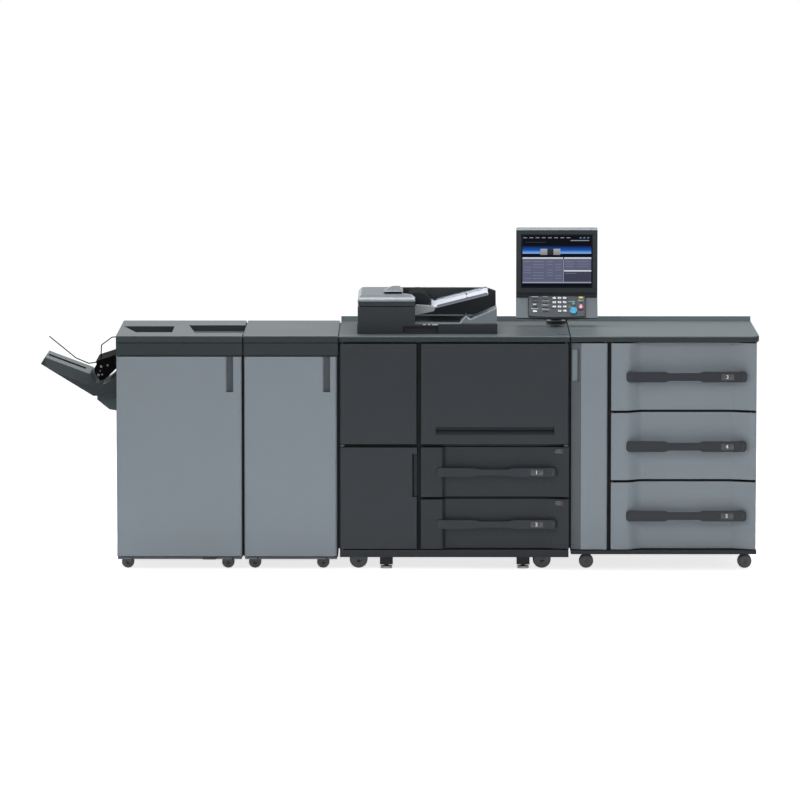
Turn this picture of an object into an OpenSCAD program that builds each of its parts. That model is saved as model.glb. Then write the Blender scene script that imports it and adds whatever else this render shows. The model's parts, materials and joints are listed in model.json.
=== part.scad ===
// A digital production printer: finisher, relay unit, main engine with document
// feeder and control panel, and paper feed unit, standing in one row.
// X runs from the finisher to the paper feed, the doors face -Y, and Z is up.

/* [Whole row] */
// Depth of every cabinet, from door face to rear cover
body_d = 723; // [600:1:900]
// Height of the worktops above the floor
work_z = 1015; // [850:1:1250]
// Dark joint between two cabinets
unit_gap = 6; // [4:1:12]
// Thickness of the swinging doors
door_t = 24; // [20:1:32]
// Free gap round a door or behind it
door_gap = 5; // [5:1:10]
// Wall of the cabinet frames
wall = 22; // [18:1:32]
// Depth of the bays behind the doors
bay_d = 150; // [90:1:220]

/* [Finisher] */
// Width of the finisher cabinet
fin_w = 543; // [450:1:680]
// Height of the dark top cover of the finisher and the relay unit
band_h = 84; // [60:1:110]
// Underside of the light kick strip
kick_z = 48; // [40:1:60]
// Height of the light kick strip
kick_h = 8; // [5:1:12]
// Depth of the two pockets in the finisher top
pocket_h = 26; // [14:1:40]

/* [Output tray] */
// Reach of the output tray past the finisher
tray_reach = 335; // [290:1:400]
// Width of the output tray from front to back
tray_w = 345; // [300:1:440]
// Travel of the output tray down its two slots
tray_travel = 480; // [380:1:500]

/* [Relay unit] */
// Width of the relay cabinet
relay_w = 405; // [330:1:500]

/* [Main engine] */
// Width of the main engine
main_w = 990; // [850:1:1200]
// Width of the left door column
main_left_w = 334; // [270:1:400]
// Width of the dark channel between the doors
channel_w = 12; // [12:1:24]
// Middle of the gap between the lower row and the upper doors
split_z = 541; // [440:1:600]
// Gap between the lower row and the upper doors
split_gap = 15; // [14:1:20]
// Underside of the main skirt
skirt_z = 57; // [45:1:70]
// Thickness of the worktop slab of the main engine and the paper feed
slab_t = 26; // [20:1:32]
// Height of the rear upstand above the worktop
upstand_h = 20; // [16:1:32]

/* [Paper feed] */
// Width of the paper feed cabinet
feed_w = 800; // [680:1:960]
// Width of the narrow left door of the paper feed
feed_door_w = 158; // [120:1:180]
// Dark gap between the narrow door and the drawers
feed_channel_w = 16; // [12:1:24]
// Underside of the paper feed skirt
feed_skirt_z = 70; // [56:1:78]
// Overhang of the worktop at the right end
top_over = 9; // [6:1:20]

/* [Drawers] */
// Gap between two drawer fronts
drawer_gap = 11; // [10:1:16]
// Thickness of the drawer fronts
front_t = 10; // [6:1:14]
// Depth of the scooped middle of the main engine's drawer fronts
main_scoop = 26; // [20:1:32]
// Depth of the scooped middle of the paper feed's drawer fronts
feed_scoop = 42; // [30:1:48]
// Length of the drawer handles
pull_l = 517; // [430:1:540]
// Height of the handles of the main engine
main_pull_h = 38; // [30:1:48]
// Height of the handles of the paper feed
feed_pull_h = 45; // [34:1:56]
// Thickness of the handle bars
pull_t = 14; // [10:1:18]
// How far the handles stand proud of the drawer fronts
pull_proud = 10; // [6:1:16]
// Depth of the paper bins
bin_d = 520; // [485:1:540]
// Wall of the paper bins
bin_t = 3; // [2:0.5:5]

/* [Document feeder] */
// Width of the document feeder
adf_w = 605; // [560:1:640]
// Depth of the document feeder
adf_d = 490; // [440:1:500]
// Overall height of the document feeder
adf_h = 164; // [150:1:180]
// Distance of its left side from the left side of the main engine
adf_x = 76; // [60:1:110]
// Distance of its back from the rear of the cabinet
adf_back = 126; // [110:1:150]
// Height of the lid under the feeder
lid_h = 42; // [34:1:50]
// Width of the feeder housing at the left
feeder_w = 250; // [220:1:280]

/* [Control panel] */
// Width of the panel housing
panel_w = 355; // [300:1:400]
// Height of the display housing
panel_h = 283; // [260:1:320]
// Thickness of the display housing
panel_t = 44; // [36:1:60]
// Height of the console under the display
console_h = 91; // [85:1:110]
// Distance of the stand from the right side of the main engine
stand_x = 45; // [45:1:80]
// Distance of the stand from the rear of the cabinet
stand_back = 133; // [120:1:180]
// Radius of the stand
stand_r = 43; // [34:1:52]

/* [Hidden] */
$fn = 48;

// Colours
c_door = "#7d8790";
c_dark = "#3c4043";
c_black = "#1d1f21";
c_top = "#6f7677";
c_steel = "#9a9ea2";
c_rubber = "#26282a";
c_glass = "#151c22";
c_pale = "#a7adb0";
c_guide = "#aab0bb";

// Small sizes shared by several pieces
fit = 0.3;
pin_r = 4;
pin_in = 12;
skin = 0.1;
seat_w = 10;
groove = 3;
base_up = 26;
cover_t = 4;
side_t = 3;
side_in = 2;
edge_r = 14;
relay_edge_r = 22;

// Where the row stands: the overall box is centred on the origin
row_w = tray_reach + fin_w + relay_w + main_w + feed_w + 3 * unit_gap + top_over;
x_fin = -row_w / 2 + tray_reach;
x_relay = x_fin + fin_w + unit_gap;
x_main = x_relay + relay_w + unit_gap;
x_feed = x_main + main_w + unit_gap;
x_end = x_feed + feed_w;
y_f = -(body_d + cover_t - pull_proud) / 2;
y_b = y_f + body_d;
y_ff = y_f + door_t + door_gap;

// Levels
band_z = work_z - band_h;
kick_top = kick_z + kick_h;
tall_z0 = kick_top + door_gap;
tall_z1 = band_z - door_gap;
slab_z = work_z - slab_t;
upper_z1 = slab_z - 7;
skirt_top = 89;
lower_z0 = skirt_top + door_gap;
lower_z1 = split_z - split_gap / 2;
upper_z0 = split_z + split_gap / 2;
feed_skirt_top = 87;
feed_z0 = feed_skirt_top + door_gap;
feed_z1 = slab_z - door_gap;

// Drawers: [x, z, width, height, flat, ramp, scoop, bevel, handle height, handle rise]
main_drawer_x = x_main + main_left_w + channel_w + 5;
main_drawer_w = x_main + main_w - side_in - main_drawer_x;
main_drawer_h = (lower_z1 - lower_z0 - drawer_gap) / 2;
main_pull_rise = 88;
feed_drawer_x = x_feed + feed_door_w + feed_channel_w;
feed_drawer_w = x_end - side_in - feed_drawer_x;
feed_drawer_h = (feed_z1 - feed_z0 - 2 * drawer_gap) / 3;
feed_pull_rise = 123;
function main_drawer(n) = [
    main_drawer_x, lower_z0 + n * (main_drawer_h + drawer_gap), main_drawer_w, main_drawer_h,
    88, 22, main_scoop, 106, main_pull_h, main_pull_rise];
function feed_drawer(n) = [
    feed_drawer_x, feed_z0 + n * (feed_drawer_h + drawer_gap), feed_drawer_w, feed_drawer_h,
    60, 80, feed_scoop, 106, feed_pull_h, feed_pull_rise];
DRAWERS = [main_drawer(1), main_drawer(0), feed_drawer(2), feed_drawer(1), feed_drawer(0)];
// the frame's front lip stands behind the scooped fronts
main_lip = y_f + main_scoop + front_t + door_gap;
feed_lip = y_f + feed_scoop + front_t + door_gap;
bin_side = 38;
runner_gap = 14;
bay_over = 8;

// ---- Outlines ----

function arc(cx, cy, r, a0, a1, n = 8) =
    [for (i = [0 : n]) let (a = a0 + (a1 - a0) * i / n) [cx + r * cos(a), cy + r * sin(a)]];

// Rectangle from [0, 0] to [w, h] with rounded corners
function rounded(w, h, r, n = 6) = concat(
    arc(w - r, h - r, r, 0, 90, n), arc(r, h - r, r, 90, 180, n),
    arc(r, r, r, 180, 270, n), arc(w - r, r, r, 270, 360, n));

// Pushes an XZ outline back along Y from y0 to y1
module along_y(y0, y1) translate([0, y1, 0]) rotate([90, 0, 0]) linear_extrude(y1 - y0) children();

// Pushes a YZ outline along X from x0 to x1
module along_x(x0, x1) translate([x0, 0, 0]) rotate([90, 0, 90]) linear_extrude(x1 - x0) children();

module block(p0, p1) translate(p0) cube(p1 - p0);

// ---- Doors ----

// Plan of a door: round hinge edge at x = 0, rounded or bevelled free edge at x = w
function door_plan(w, r, bevel) = concat(
    bevel > 0 ? [[w - bevel, 0], [w, r]] : arc(w - r, r, r, -90, 0), [[w, door_t]],
    arc(door_t / 2, door_t / 2, door_t / 2, 90, 270, 12));

module door_leaf(w, h, r = edge_r, bevel = 0) {
    difference() {
        linear_extrude(h) polygon(door_plan(w, r, bevel));
        for (z = [-1, h - pin_in])
            translate([door_t / 2, door_t / 2, z]) cylinder(r = pin_r + fit, h = pin_in + 1);
    }
}

// Upright grip recess whose right wall drops straight and whose left wall slopes in
module grip_recess(w, h, deep) {
    linear_extrude(h) polygon([[0, -1], [w, -1], [w, deep], [w * 0.35, deep]]);
}

tall_h = tall_z1 - tall_z0;
grip_w = 34;
grip_h = 153;
grip_deep = 15;
fin_grip_in = 38;

module finisher_door() color(c_door)
translate([x_fin + side_in / 2, y_f, tall_z0]) difference() {
    door_leaf(fin_w - side_in, tall_h);
    translate([fin_w - side_in - fin_grip_in - grip_w, 0, tall_h - grip_h])
        grip_recess(grip_w, grip_h + 1, grip_deep);
}

relay_grip_in = 32;
module relay_door() color(c_door)
translate([x_relay + side_in / 2, y_f, tall_z0]) difference() {
    door_leaf(relay_w - side_in, tall_h, relay_edge_r);
    translate([relay_w - side_in - relay_grip_in - grip_w, 0, tall_h - grip_h])
        grip_recess(grip_w, grip_h + 1, grip_deep);
}

module upper_left_door() color(c_dark) translate([x_main + side_in / 2, y_f, upper_z0])
    door_leaf(main_left_w - side_in, upper_z1 - upper_z0, 6);

lower_grip_z = 225;
lower_grip_h = 186;
module lower_left_door() color(c_dark) translate([x_main + side_in / 2, y_f, lower_z0]) difference() {
    door_leaf(main_left_w, lower_z1 - lower_z0, 6);
    translate([main_left_w - 22, 0, lower_grip_z]) grip_recess(23, lower_grip_h, grip_deep);
}

// The wide door hangs on its right edge and has a long scooped grip near its foot
right_door_w = x_main + main_w - side_in - (x_main + main_left_w + channel_w + 4);
slot_l = 510;
slot_x = 63;
slot_z0 = 39;
slot_z1 = 74;
slot_deep = 17;
module right_door() color(c_dark)
translate([x_main + main_w - side_in, y_f, upper_z0]) mirror([1, 0, 0]) difference() {
    door_leaf(right_door_w, upper_z1 - upper_z0, 6);
    along_x(slot_x, slot_x + slot_l)
        polygon([[-1, slot_z0], [0, slot_z0], [slot_deep, slot_z1 - 14], [slot_deep, slot_z1],
            [-1, slot_z1]]);
}

feed_bevel = 42;
feed_grip_in = 4;
feed_grip_h = 138;
feed_grip_top = 27;
module feed_door() color(c_door)
translate([x_feed + feed_door_w, y_f, feed_z0]) mirror([1, 0, 0]) difference() {
    door_leaf(feed_door_w - side_in, feed_z1 - feed_z0, edge_r, feed_bevel);
    translate([feed_door_w - side_in - feed_grip_in - grip_w, 0,
        feed_z1 - feed_z0 - feed_grip_top - feed_grip_h])
        grip_recess(grip_w, feed_grip_h, grip_deep);
}

// Hinge pins: every door turns on one pin in its foot and one in its head
function left_axis(x) = [x + side_in / 2 + door_t / 2, y_f + door_t / 2];
fin_axis = left_axis(x_fin);
relay_axis = left_axis(x_relay);
left_axis_main = left_axis(x_main);
right_axis = [x_main + main_w - side_in - door_t / 2, y_f + door_t / 2];
feed_axis = [x_feed + feed_door_w - door_t / 2, y_f + door_t / 2];

module pin(a, z0, z1) translate([a.x, a.y, z0]) cylinder(r = pin_r, h = z1 - z0);

// Plate that reaches forward from the frame and carries the pins between two doors
plate_t = 5;
module hinge_plate(a, z) {
    block([a.x - 9, a.y - 9, z - plate_t / 2], [a.x + 9, y_ff, z + plate_t / 2]);
}

module door_hinges() color(c_steel) {
    for (a = [fin_axis, relay_axis]) {
        pin(a, kick_top, tall_z0 + pin_in - 1);
        pin(a, tall_z1 - pin_in + 1, band_z);
    }
    pin(left_axis_main, skirt_top, lower_z0 + pin_in - 1);
    pin(left_axis_main, upper_z1 - pin_in + 1, slab_z);
    pin(left_axis_main, lower_z1 - pin_in + 1, upper_z0 + pin_in - 1);
    hinge_plate(left_axis_main, split_z);
    pin(right_axis, upper_z1 - pin_in + 1, slab_z);
    pin(right_axis, split_z - plate_t / 2, upper_z0 + pin_in - 1);
    hinge_plate(right_axis, split_z);
    pin(feed_axis, feed_skirt_top, feed_z0 + pin_in - 1);
    pin(feed_axis, feed_z1 - pin_in + 1, slab_z);
}

// ---- Cabinet frames ----

// Recess under a cabinet, where the casters are
module underside(x0, x1, y, z) block([x0 + rim, y + rim, z - 1], [x1 - rim, y_b - 6 - rim, z + base_up]);

// Bay behind a door, open to the front
module bay(x0, x1, z0, z1, deep) block([x0, y_ff - 1, z0], [x1, y_ff + deep, z1]);

// Level of the paper exit in the left side of the finisher
exit_z = band_z - 10;

// The output tray rides in two upright tracks in the left side of the finisher
track_w = 26;
track_in = 30;
tray_y0 = y_f + 185;
carriage_y = [tray_y0 + 90, tray_y0 + tray_w - 90];
track_z1 = exit_z - 89;
track_z0 = track_z1 - tray_travel - 170;

module tray_tracks(x0, x1)
    for (y = carriage_y)
        block([x0, y - track_w / 2, track_z0], [x1, y + track_w / 2, track_z1]);

module finisher_frame() color(c_dark) difference() {
    block([x_fin + side_t, y_ff, kick_top], [x_fin + fin_w, y_b, band_z]);
    underside(x_fin + 4, x_fin + fin_w - 4, y_ff, kick_top);
    bay(x_fin + wall, x_fin + fin_w - wall, kick_top + base_up + wall, band_z - wall, bay_d);
    tray_tracks(x_fin, x_fin + track_in);
}

// Outer side plates of the finisher and of the paper feed
module side_covers() color(c_door) {
    difference() {
        block([x_fin, y_ff, kick_top + 2], [x_fin + side_t, y_b - 2, band_z - 2]);
        tray_tracks(x_fin - 1, x_fin + side_t + 1);
    }
    block([x_end - side_t, y_ff, feed_skirt_top + 2], [x_end, y_b - 2, slab_z - 2]);
}

module relay_frame() color(c_dark) difference() {
    block([x_relay, y_ff, kick_top], [x_relay + relay_w, y_b, band_z]);
    underside(x_relay + 4, x_relay + relay_w - 4, y_ff, kick_top);
    bay(x_relay + wall, x_relay + relay_w - wall, kick_top + base_up + wall, band_z - wall, bay_d);
}

// Room for one drawer: the bin, its running gap and the two runners
function front_back(d) = y_f + d[6] + front_t;
function bin_x0(d) = d[0] + bin_side;
function bin_x1(d) = d[0] + d[2] - bin_side;
function bin_z0(d) = d[1] + 44;
function bin_z1(d) = d[1] + d[3] * 0.8;
rail_h = 8;
rim_t = 5;

module drawer_bay(d) {
    block([bin_x0(d) - runner_gap, y_ff - 1, bin_z0(d) - bay_over],
        [bin_x1(d) + runner_gap, front_back(d) + bin_d + 12, d[1] + d[3] - 4]);
}

// The frame steps back behind the scooped fronts
module front_room(d, z0, z1) {
    block([bin_x0(d) - runner_gap, y_ff - 1, z0],
        [bin_x1(d) + runner_gap, front_back(d) + door_gap, z1]);
}

// Runners on the bay walls, just under the rims of the bin
module runners(d) {
    z = bin_z1(d) - rim_t - fit;
    for (x = [bin_x0(d) - runner_gap - 1, bin_x1(d) + runner_gap - seat_w])
        block([x, front_back(d) + door_gap, z - rail_h], [x + seat_w + 1, front_back(d) + bin_d, z]);
}

module main_frame() color(c_dark) {
    difference() {
        block([x_main, y_ff, skirt_top], [x_main + main_w, y_b, slab_z]);
        underside(x_main + 2, x_main + main_w - 2, main_lip, skirt_top);
        bay(x_main + wall, x_main + main_left_w - wall, lower_z0 + base_up + wall, lower_z1 - wall,
            bay_d);
        bay(x_main + wall, x_main + main_left_w - wall, upper_z0 + wall, upper_z1 - wall, bay_d);
        bay(main_drawer_x + wall, x_main + main_w - wall, upper_z0 + wall, upper_z1 - wall, bay_d);
        front_room(DRAWERS[0], skirt_top - 1, lower_z1 + door_gap);
        for (i = [0, 1])
            drawer_bay(DRAWERS[i]);
    }
    for (i = [0, 1])
        runners(DRAWERS[i]);
    // channel strip between the two door columns
    block([x_main + main_left_w + 6, y_f + 18, skirt_top],
        [x_main + main_left_w + channel_w - 1, y_ff + 1, slab_z]);
}

module feed_frame() color(c_dark) {
    difference() {
        block([x_feed, y_ff, feed_skirt_top], [x_end - side_t, y_b, slab_z]);
        underside(x_feed + 2, x_end + 2, feed_lip, feed_skirt_top);
        bay(x_feed + wall, x_feed + feed_door_w - wall, feed_z0 + base_up + wall, feed_z1 - wall,
            bay_d);
        front_room(DRAWERS[2], feed_skirt_top - 1, slab_z + 1);
        for (i = [2 : 4])
            drawer_bay(DRAWERS[i]);
    }
    for (i = [2 : 4])
        runners(DRAWERS[i]);
}

// Docking frames close the joints between the cabinets and carry the paper across
dock_in = 4;
dock_down = 9;
module dock(x, z0) block([x - unit_gap, y_ff + dock_in, z0 + dock_in],
    [x, y_b - dock_in, work_z - dock_down]);
module docking_frames() color(c_black) {
    dock(x_relay, kick_top);
    dock(x_main, skirt_top);
    union() {
        dock(x_feed, skirt_top);
        block([x_feed - unit_gap, y_b - upstand_t, work_z - dock_down - 1],
            [x_feed, y_b - dock_in, work_z + upstand_h - dock_in]);
    }
}

// ---- Kick strips and skirts ----

// Each base is a ring, so that the casters stand up inside it; its front reaches back to y
rim = 14;
module base_ring(x0, x1, z0, z1, y = y_f + 6 + rim) difference() {
    block([x0, y_f + 6, z0], [x1, y_b - 6, z1]);
    block([x0 + rim, y, z0 - 1], [x1 - rim, y_b - 6 - rim, z1 + 1]);
}

module finisher_kick() color(c_pale) base_ring(x_fin + 4, x_fin + fin_w - 4, kick_z, kick_top);
module relay_kick() color(c_pale) base_ring(x_relay + 4, x_relay + relay_w - 4, kick_z, kick_top);
module main_skirt() color(c_black)
    base_ring(x_main + 2, x_main + main_w - 2, skirt_z, skirt_top, main_lip + rim);
module feed_skirt() color(c_black)
    base_ring(x_feed + 2, x_end + 2, feed_skirt_z, feed_skirt_top, feed_lip + rim);

// ---- Tops ----

// Cover profile: soft front edge, a strip that leans back above a shadow groove
band_in = 2;
strip_back = 1;
strip_h = 27;
function cover_profile() = concat(
    [[y_f + band_in, band_z], [y_b, band_z], [y_b, work_z]],
    arc(y_f + band_in + strip_back + 4, work_z - 4, 4, 90, 170, 5),
    [[y_f + band_in, work_z - strip_h], [y_f + band_in + groove, work_z - strip_h - 2],
        [y_f + band_in, work_z - strip_h - 5]]);

// Tray pocket with sloping sides: x of the left and right edge at its back and its front
module top_pocket(x0b, x1b, x0f, x1f, lean, y) intersection() {
    along_y(y[0], y[1])
        polygon([[x0b - 1, work_z + 1], [x0b - 1, work_z], [x0b + lean, work_z - pocket_h],
            [x1b + 1, work_z - pocket_h], [x1b + 1, work_z + 1]]);
    translate([0, 0, work_z - pocket_h]) linear_extrude(pocket_h + 1)
        polygon([[x0b, y[1]], [x1b, y[1]], [x1f, y[0]], [x0f, y[0]]]);
}

pocket_ly = [y_f + 175, y_f + 452];
pocket_ry = [y_f + 144, y_f + 498];
pocket_l = [14, 234, 79, 238];
pocket_r = [297, 335];
module finisher_top() color(c_dark) difference() {
    along_x(x_fin, x_fin + fin_w) polygon(cover_profile());
    top_pocket(x_fin + pocket_l[0], x_fin + pocket_l[1], x_fin + pocket_l[2], x_fin + pocket_l[3], 26,
        pocket_ly);
    top_pocket(x_fin + pocket_r[0], x_fin + fin_w + 1, x_fin + pocket_r[1], x_fin + fin_w + 1, 22,
        pocket_ry);
}

module relay_top() color(c_dark) along_x(x_relay, x_relay + relay_w) polygon(cover_profile());

upstand_t = 10;
// Worktop slab with a rounded nose and the upstand along its rear edge
function slab_profile() = concat(
    [[y_f + 4, slab_z], [y_b, slab_z], [y_b, work_z + upstand_h], [y_b - upstand_t, work_z + upstand_h],
        [y_b - upstand_t - 6, work_z]],
    arc(y_f + 8, work_z - 8, 8, 90, 180, 5),
    [[y_f, slab_z + 4]]);

glass_w = 432;
glass_d = 300;
glass_t = 4;
glass_x = x_main + adf_x + 40;
glass_y = y_b - adf_back - 100 - glass_d;
port_w = 42;
port_d = 12;
port_in = [33, 79];

module main_worktop() color(c_top) difference() {
    along_x(x_main, x_main + main_w) polygon(slab_profile());
    block([glass_x - fit, glass_y - fit, work_z - glass_t - fit],
        [glass_x + glass_w + fit, glass_y + glass_d + fit, work_z + 1]);
    // finger slot near the front right corner
    translate([x_main + main_w - port_in.x - port_w / 2, y_f + port_in.y - port_d / 2, work_z - 6])
        linear_extrude(7) polygon(rounded(port_w, port_d, port_d / 2 - skin));
}

module platen_glass() color(c_glass)
    block([glass_x, glass_y, work_z - glass_t - fit], [glass_x + glass_w, glass_y + glass_d, work_z - fit]);

nose_r = 26;
lip_r = 10;
module feed_worktop() color(c_top) intersection() {
    along_x(x_feed, x_end + top_over) polygon(slab_profile());
    linear_extrude(work_z + upstand_h + 1)
        polygon(concat([[x_feed, y_b], [x_feed, y_f]],
            arc(x_end + top_over - nose_r, y_f + nose_r, nose_r, -90, 0, 8),
            [[x_end + top_over, y_b]]));
    along_y(y_f - 1, y_b + 1)
        polygon(concat([[x_feed, work_z + upstand_h + 1], [x_feed, slab_z]],
            arc(x_end + top_over - lip_r, slab_z + lip_r, lip_r, -90, 0),
            [[x_end + top_over, work_z + upstand_h + 1]]));
}

// ---- Drawers ----

// Scooped face of a drawer front in plan, y measured back from the front plane: flat at the
// left, a soft ramp down to the floor of the scoop, and a straight bevel out at the right
function face_plan(d) = concat(
    [[0, 0]],
    [for (i = [0 : 8]) [d[4] + d[5] * i / 8, d[6] * (1 - cos(180 * i / 8)) / 2]],
    [[d[2] - d[7], d[6]], [d[2], 0]]);

// The front is one moulded shell of even thickness with a return along both edges
function front_plan(d) = concat(
    face_plan(d),
    [[d[2], door_t], [d[2] - front_t, door_t]],
    [for (i = [len(face_plan(d)) - 2 : -1 : 1]) face_plan(d)[i] + [0, front_t]],
    [[front_t, front_t], [front_t, door_t], [0, door_t]]);

module drawer_front(n) {
    d = DRAWERS[n - 1];
    translate([d[0], y_f, d[1]]) linear_extrude(d[3]) polygon(front_plan(d));
}

// Handle: a bar that bridges the scoop, pinched in the middle, its ends turned back to the face
pull_in = 65;
pull_r = 13;
pull_end = 22;
pull_foot = 24;
pinch = 6;
PINCH = [for (i = [0 : 4]) [0.315 + 0.045 * i / 4, pinch * (1 - cos(45 * i)) / 2],
    for (i = [0 : 4]) [0.6 + 0.045 * i / 4, pinch * (1 + cos(45 * i)) / 2]];

module drawer_handle(n) {
    d = DRAWERS[n - 1];
    h = d[8];
    reach = d[6] + 1;
    inner = pull_t - pull_proud;
    translate([d[0], y_f, d[1]]) difference() {
        intersection() {
            translate([pull_in, 0, 0]) linear_extrude(d[3]) polygon(concat(
                [[0, reach]],
                [for (i = [0 : 5]) [pull_end * (1 - cos(90 * i / 5)), -pull_proud * sin(90 * i / 5)]],
                [for (i = [5 : -1 : 0])
                    [pull_l - pull_end * (1 - cos(90 * i / 5)), -pull_proud * sin(90 * i / 5)]],
                [[pull_l, reach], [pull_l - pull_foot, reach], [pull_l - pull_foot - 8, inner],
                    [pull_foot + 8, inner], [pull_foot, reach]]));
            translate([pull_in, 0, d[9]]) along_y(-pull_proud - 1, reach + 1) polygon(concat(
                arc(pull_r, h - pull_r, pull_r, 180, 90, 5),
                [for (p = PINCH) [pull_l * p[0], h - p[1]]],
                arc(pull_l - pull_r, h - pull_r, pull_r, 90, 0, 5),
                arc(pull_l - pull_r, pull_r, pull_r, 0, -90, 5),
                [for (i = [len(PINCH) - 1 : -1 : 0]) [pull_l * PINCH[i][0], PINCH[i][1]]],
                arc(pull_r, pull_r, pull_r, -90, -180, 5)));
        }
        // scribed to the face of the drawer front
        translate([0, -skin, -1]) linear_extrude(d[3] + 2)
            polygon(concat(face_plan(d), [[d[2], reach + 1], [0, reach + 1]]));
    }
}

module drawer_bin(n) {
    d = DRAWERS[n - 1];
    x0 = bin_x0(d);
    x1 = bin_x1(d);
    z0 = bin_z0(d);
    z1 = bin_z1(d);
    y0 = front_back(d);
    difference() {
        union() {
            block([x0, y0 + skin, z0], [x1, y0 + bin_d, z1]);
            block([x0 - seat_w, y0 + 12, z1 - rim_t], [x1 + seat_w, y0 + bin_d, z1]);
        }
        block([x0 + bin_t, y0 + bin_t, z0 + bin_t], [x1 - bin_t, y0 + bin_d - bin_t, z1 + 1]);
    }
}

module drawer_1_front() color(c_dark) drawer_front(1);
module drawer_2_front() color(c_dark) drawer_front(2);
module drawer_3_front() color(c_door) drawer_front(3);
module drawer_4_front() color(c_door) drawer_front(4);
module drawer_5_front() color(c_door) drawer_front(5);
module drawer_1_handle() color(c_black) drawer_handle(1);
module drawer_2_handle() color(c_black) drawer_handle(2);
module drawer_3_handle() color(c_black) drawer_handle(3);
module drawer_4_handle() color(c_black) drawer_handle(4);
module drawer_5_handle() color(c_black) drawer_handle(5);
module drawer_1_bin() color(c_steel) drawer_bin(1);
module drawer_2_bin() color(c_steel) drawer_bin(2);
module drawer_3_bin() color(c_steel) drawer_bin(3);
module drawer_4_bin() color(c_steel) drawer_bin(4);
module drawer_5_bin() color(c_steel) drawer_bin(5);

// ---- Casters and feet ----

// [x, y, wheel radius, ceiling of the recess the caster is screwed to]; the front ones
// stand clear behind the scooped drawer fronts
fork_half = 22;
caster_in = feed_lip - y_f + rim + door_gap + fork_half;
function pair(x0, x1, r, top) =
    [for (x = [x0, x1], y = [y_f + caster_in, y_b - caster_in]) [x, y, r, top]];
CASTERS = concat(
    pair(x_fin + 44, x_fin + fin_w - 65, 27, kick_top + base_up),
    pair(x_relay + 45, x_relay + relay_w - 65, 27, kick_top + base_up),
    pair(x_main + 82, x_main + main_w - 116, 39, skirt_top + base_up),
    pair(x_feed + 70, x_end - 45, 31, feed_skirt_top + base_up));
wheel_w = 22;
cheek_w = 3;

// Wheel with a proud hub on both sides
module caster_wheels() color(c_rubber)
    for (c = CASTERS)
        translate([c[0], c[1], c[2]]) rotate([90, 0, 0]) {
            cylinder(r = c[2], h = wheel_w, center = true);
            cylinder(r = c[2] * 0.35, h = wheel_w + 3, center = true);
        }

// Fork: plate, swivel boss, crown and two cheeks that meet the wheel's hub
module caster_forks() color(c_steel)
    for (c = CASTERS)
        translate([c[0], c[1], 0]) {
            crown = 2 * c[2] + 3;
            out = wheel_w / 2 + 1.5 + fit;
            block([-24, -fork_half, c[3] - 3], [24, fork_half, c[3]]);
            translate([0, 0, crown]) cylinder(r = 15, h = c[3] - crown - 1);
            block([-16, -out - cheek_w, crown], [16, out + cheek_w, crown + 3]);
            for (y = [-out - cheek_w, out])
                along_y(y, y + cheek_w)
                    polygon([[-16, crown + 1], [-9, c[2] - 8], [9, c[2] - 8], [16, crown + 1]]);
        }

foot_r = 25;
foot_pad_h = 10;
post_w = 56;
foot_in = main_lip - y_f + rim + door_gap + post_w / 2;
FEET = [for (x = [x_main + 202, x_main + main_w - 197], y = [y_f + foot_in, y_b - foot_in]) [x, y]];
// Levelling foot: pad, threaded spindle and the square box that it screws into
module levelling_feet() color(c_black)
    for (f = FEET)
        translate([f.x, f.y, 0]) {
            cylinder(r = foot_r, h = foot_pad_h);
            cylinder(r = 9, h = foot_pad_h + 12);
            translate([-post_w / 2, -post_w / 2, foot_pad_h + 8])
                cube([post_w, post_w, skirt_top + base_up - foot_pad_h - 8]);
        }

// ---- Rear covers ----

module vents(x0, x1, z0, n) {
    for (i = [0 : n - 1])
        block([x0, y_b - 1, z0 + i * 16], [x1, y_b + cover_t + 1, z0 + i * 16 + 7]);
}

module rear_covers() color(c_dark) {
    block([x_fin + 6, y_b, kick_top + 20], [x_fin + fin_w - 6, y_b + cover_t, band_z - 20]);
    block([x_relay + 6, y_b, kick_top + 20], [x_relay + relay_w - 6, y_b + cover_t, band_z - 20]);
    difference() {
        block([x_main + 6, y_b, skirt_top + 20], [x_main + main_w - 6, y_b + cover_t, slab_z - 20]);
        vents(x_main + 120, x_main + 380, 700, 10);
        vents(x_main + main_w - 380, x_main + main_w - 120, 700, 10);
    }
    block([x_feed + 6, y_b, feed_skirt_top + 20], [x_end - 6, y_b + cover_t, slab_z - 20]);
}

// ---- Finisher exit and output tray ----

// Point outside the finisher: u out from its left side, z up from the paper exit
function out(u, z) = [x_fin - u, exit_z + z];
function outline(points) = [for (p = points) out(p[0], p[1])];

plate_w = 6;
exit_y0 = tray_y0 + 20;
exit_y1 = tray_y0 + tray_w - 20;
// Exit arm: two cheeks under a top plate, with the delivery rollers between them
module exit_unit() color(c_black) {
    union() {
        for (y = [exit_y0, exit_y1 - plate_w])
            along_y(y, y + plate_w) polygon(outline([[0, -3], [97, -35], [94, -48], [103, -63],
                [104, -76], [101, -90], [79, -120], [58, -114], [43, -101], [0, -58]]));
        along_y(exit_y0, exit_y1)
            polygon(outline([[0, -3], [97, -35], [94, -48], [90, -39], [0, -11]]));
    }
    for (r = [[78, -61, 13], [70, -92, 12]])
        union() {
            along_y(exit_y0 + plate_w + skin, exit_y1 - plate_w - skin)
                translate(out(r[0], r[1])) circle(r = 4);
            for (i = [0 : 4]) {
                y = exit_y0 + 30 + i * (exit_y1 - exit_y0 - 84) / 4;
                along_y(y, y + 24) translate(out(r[0], r[1])) circle(r = r[2]);
            }
        }
}

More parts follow.
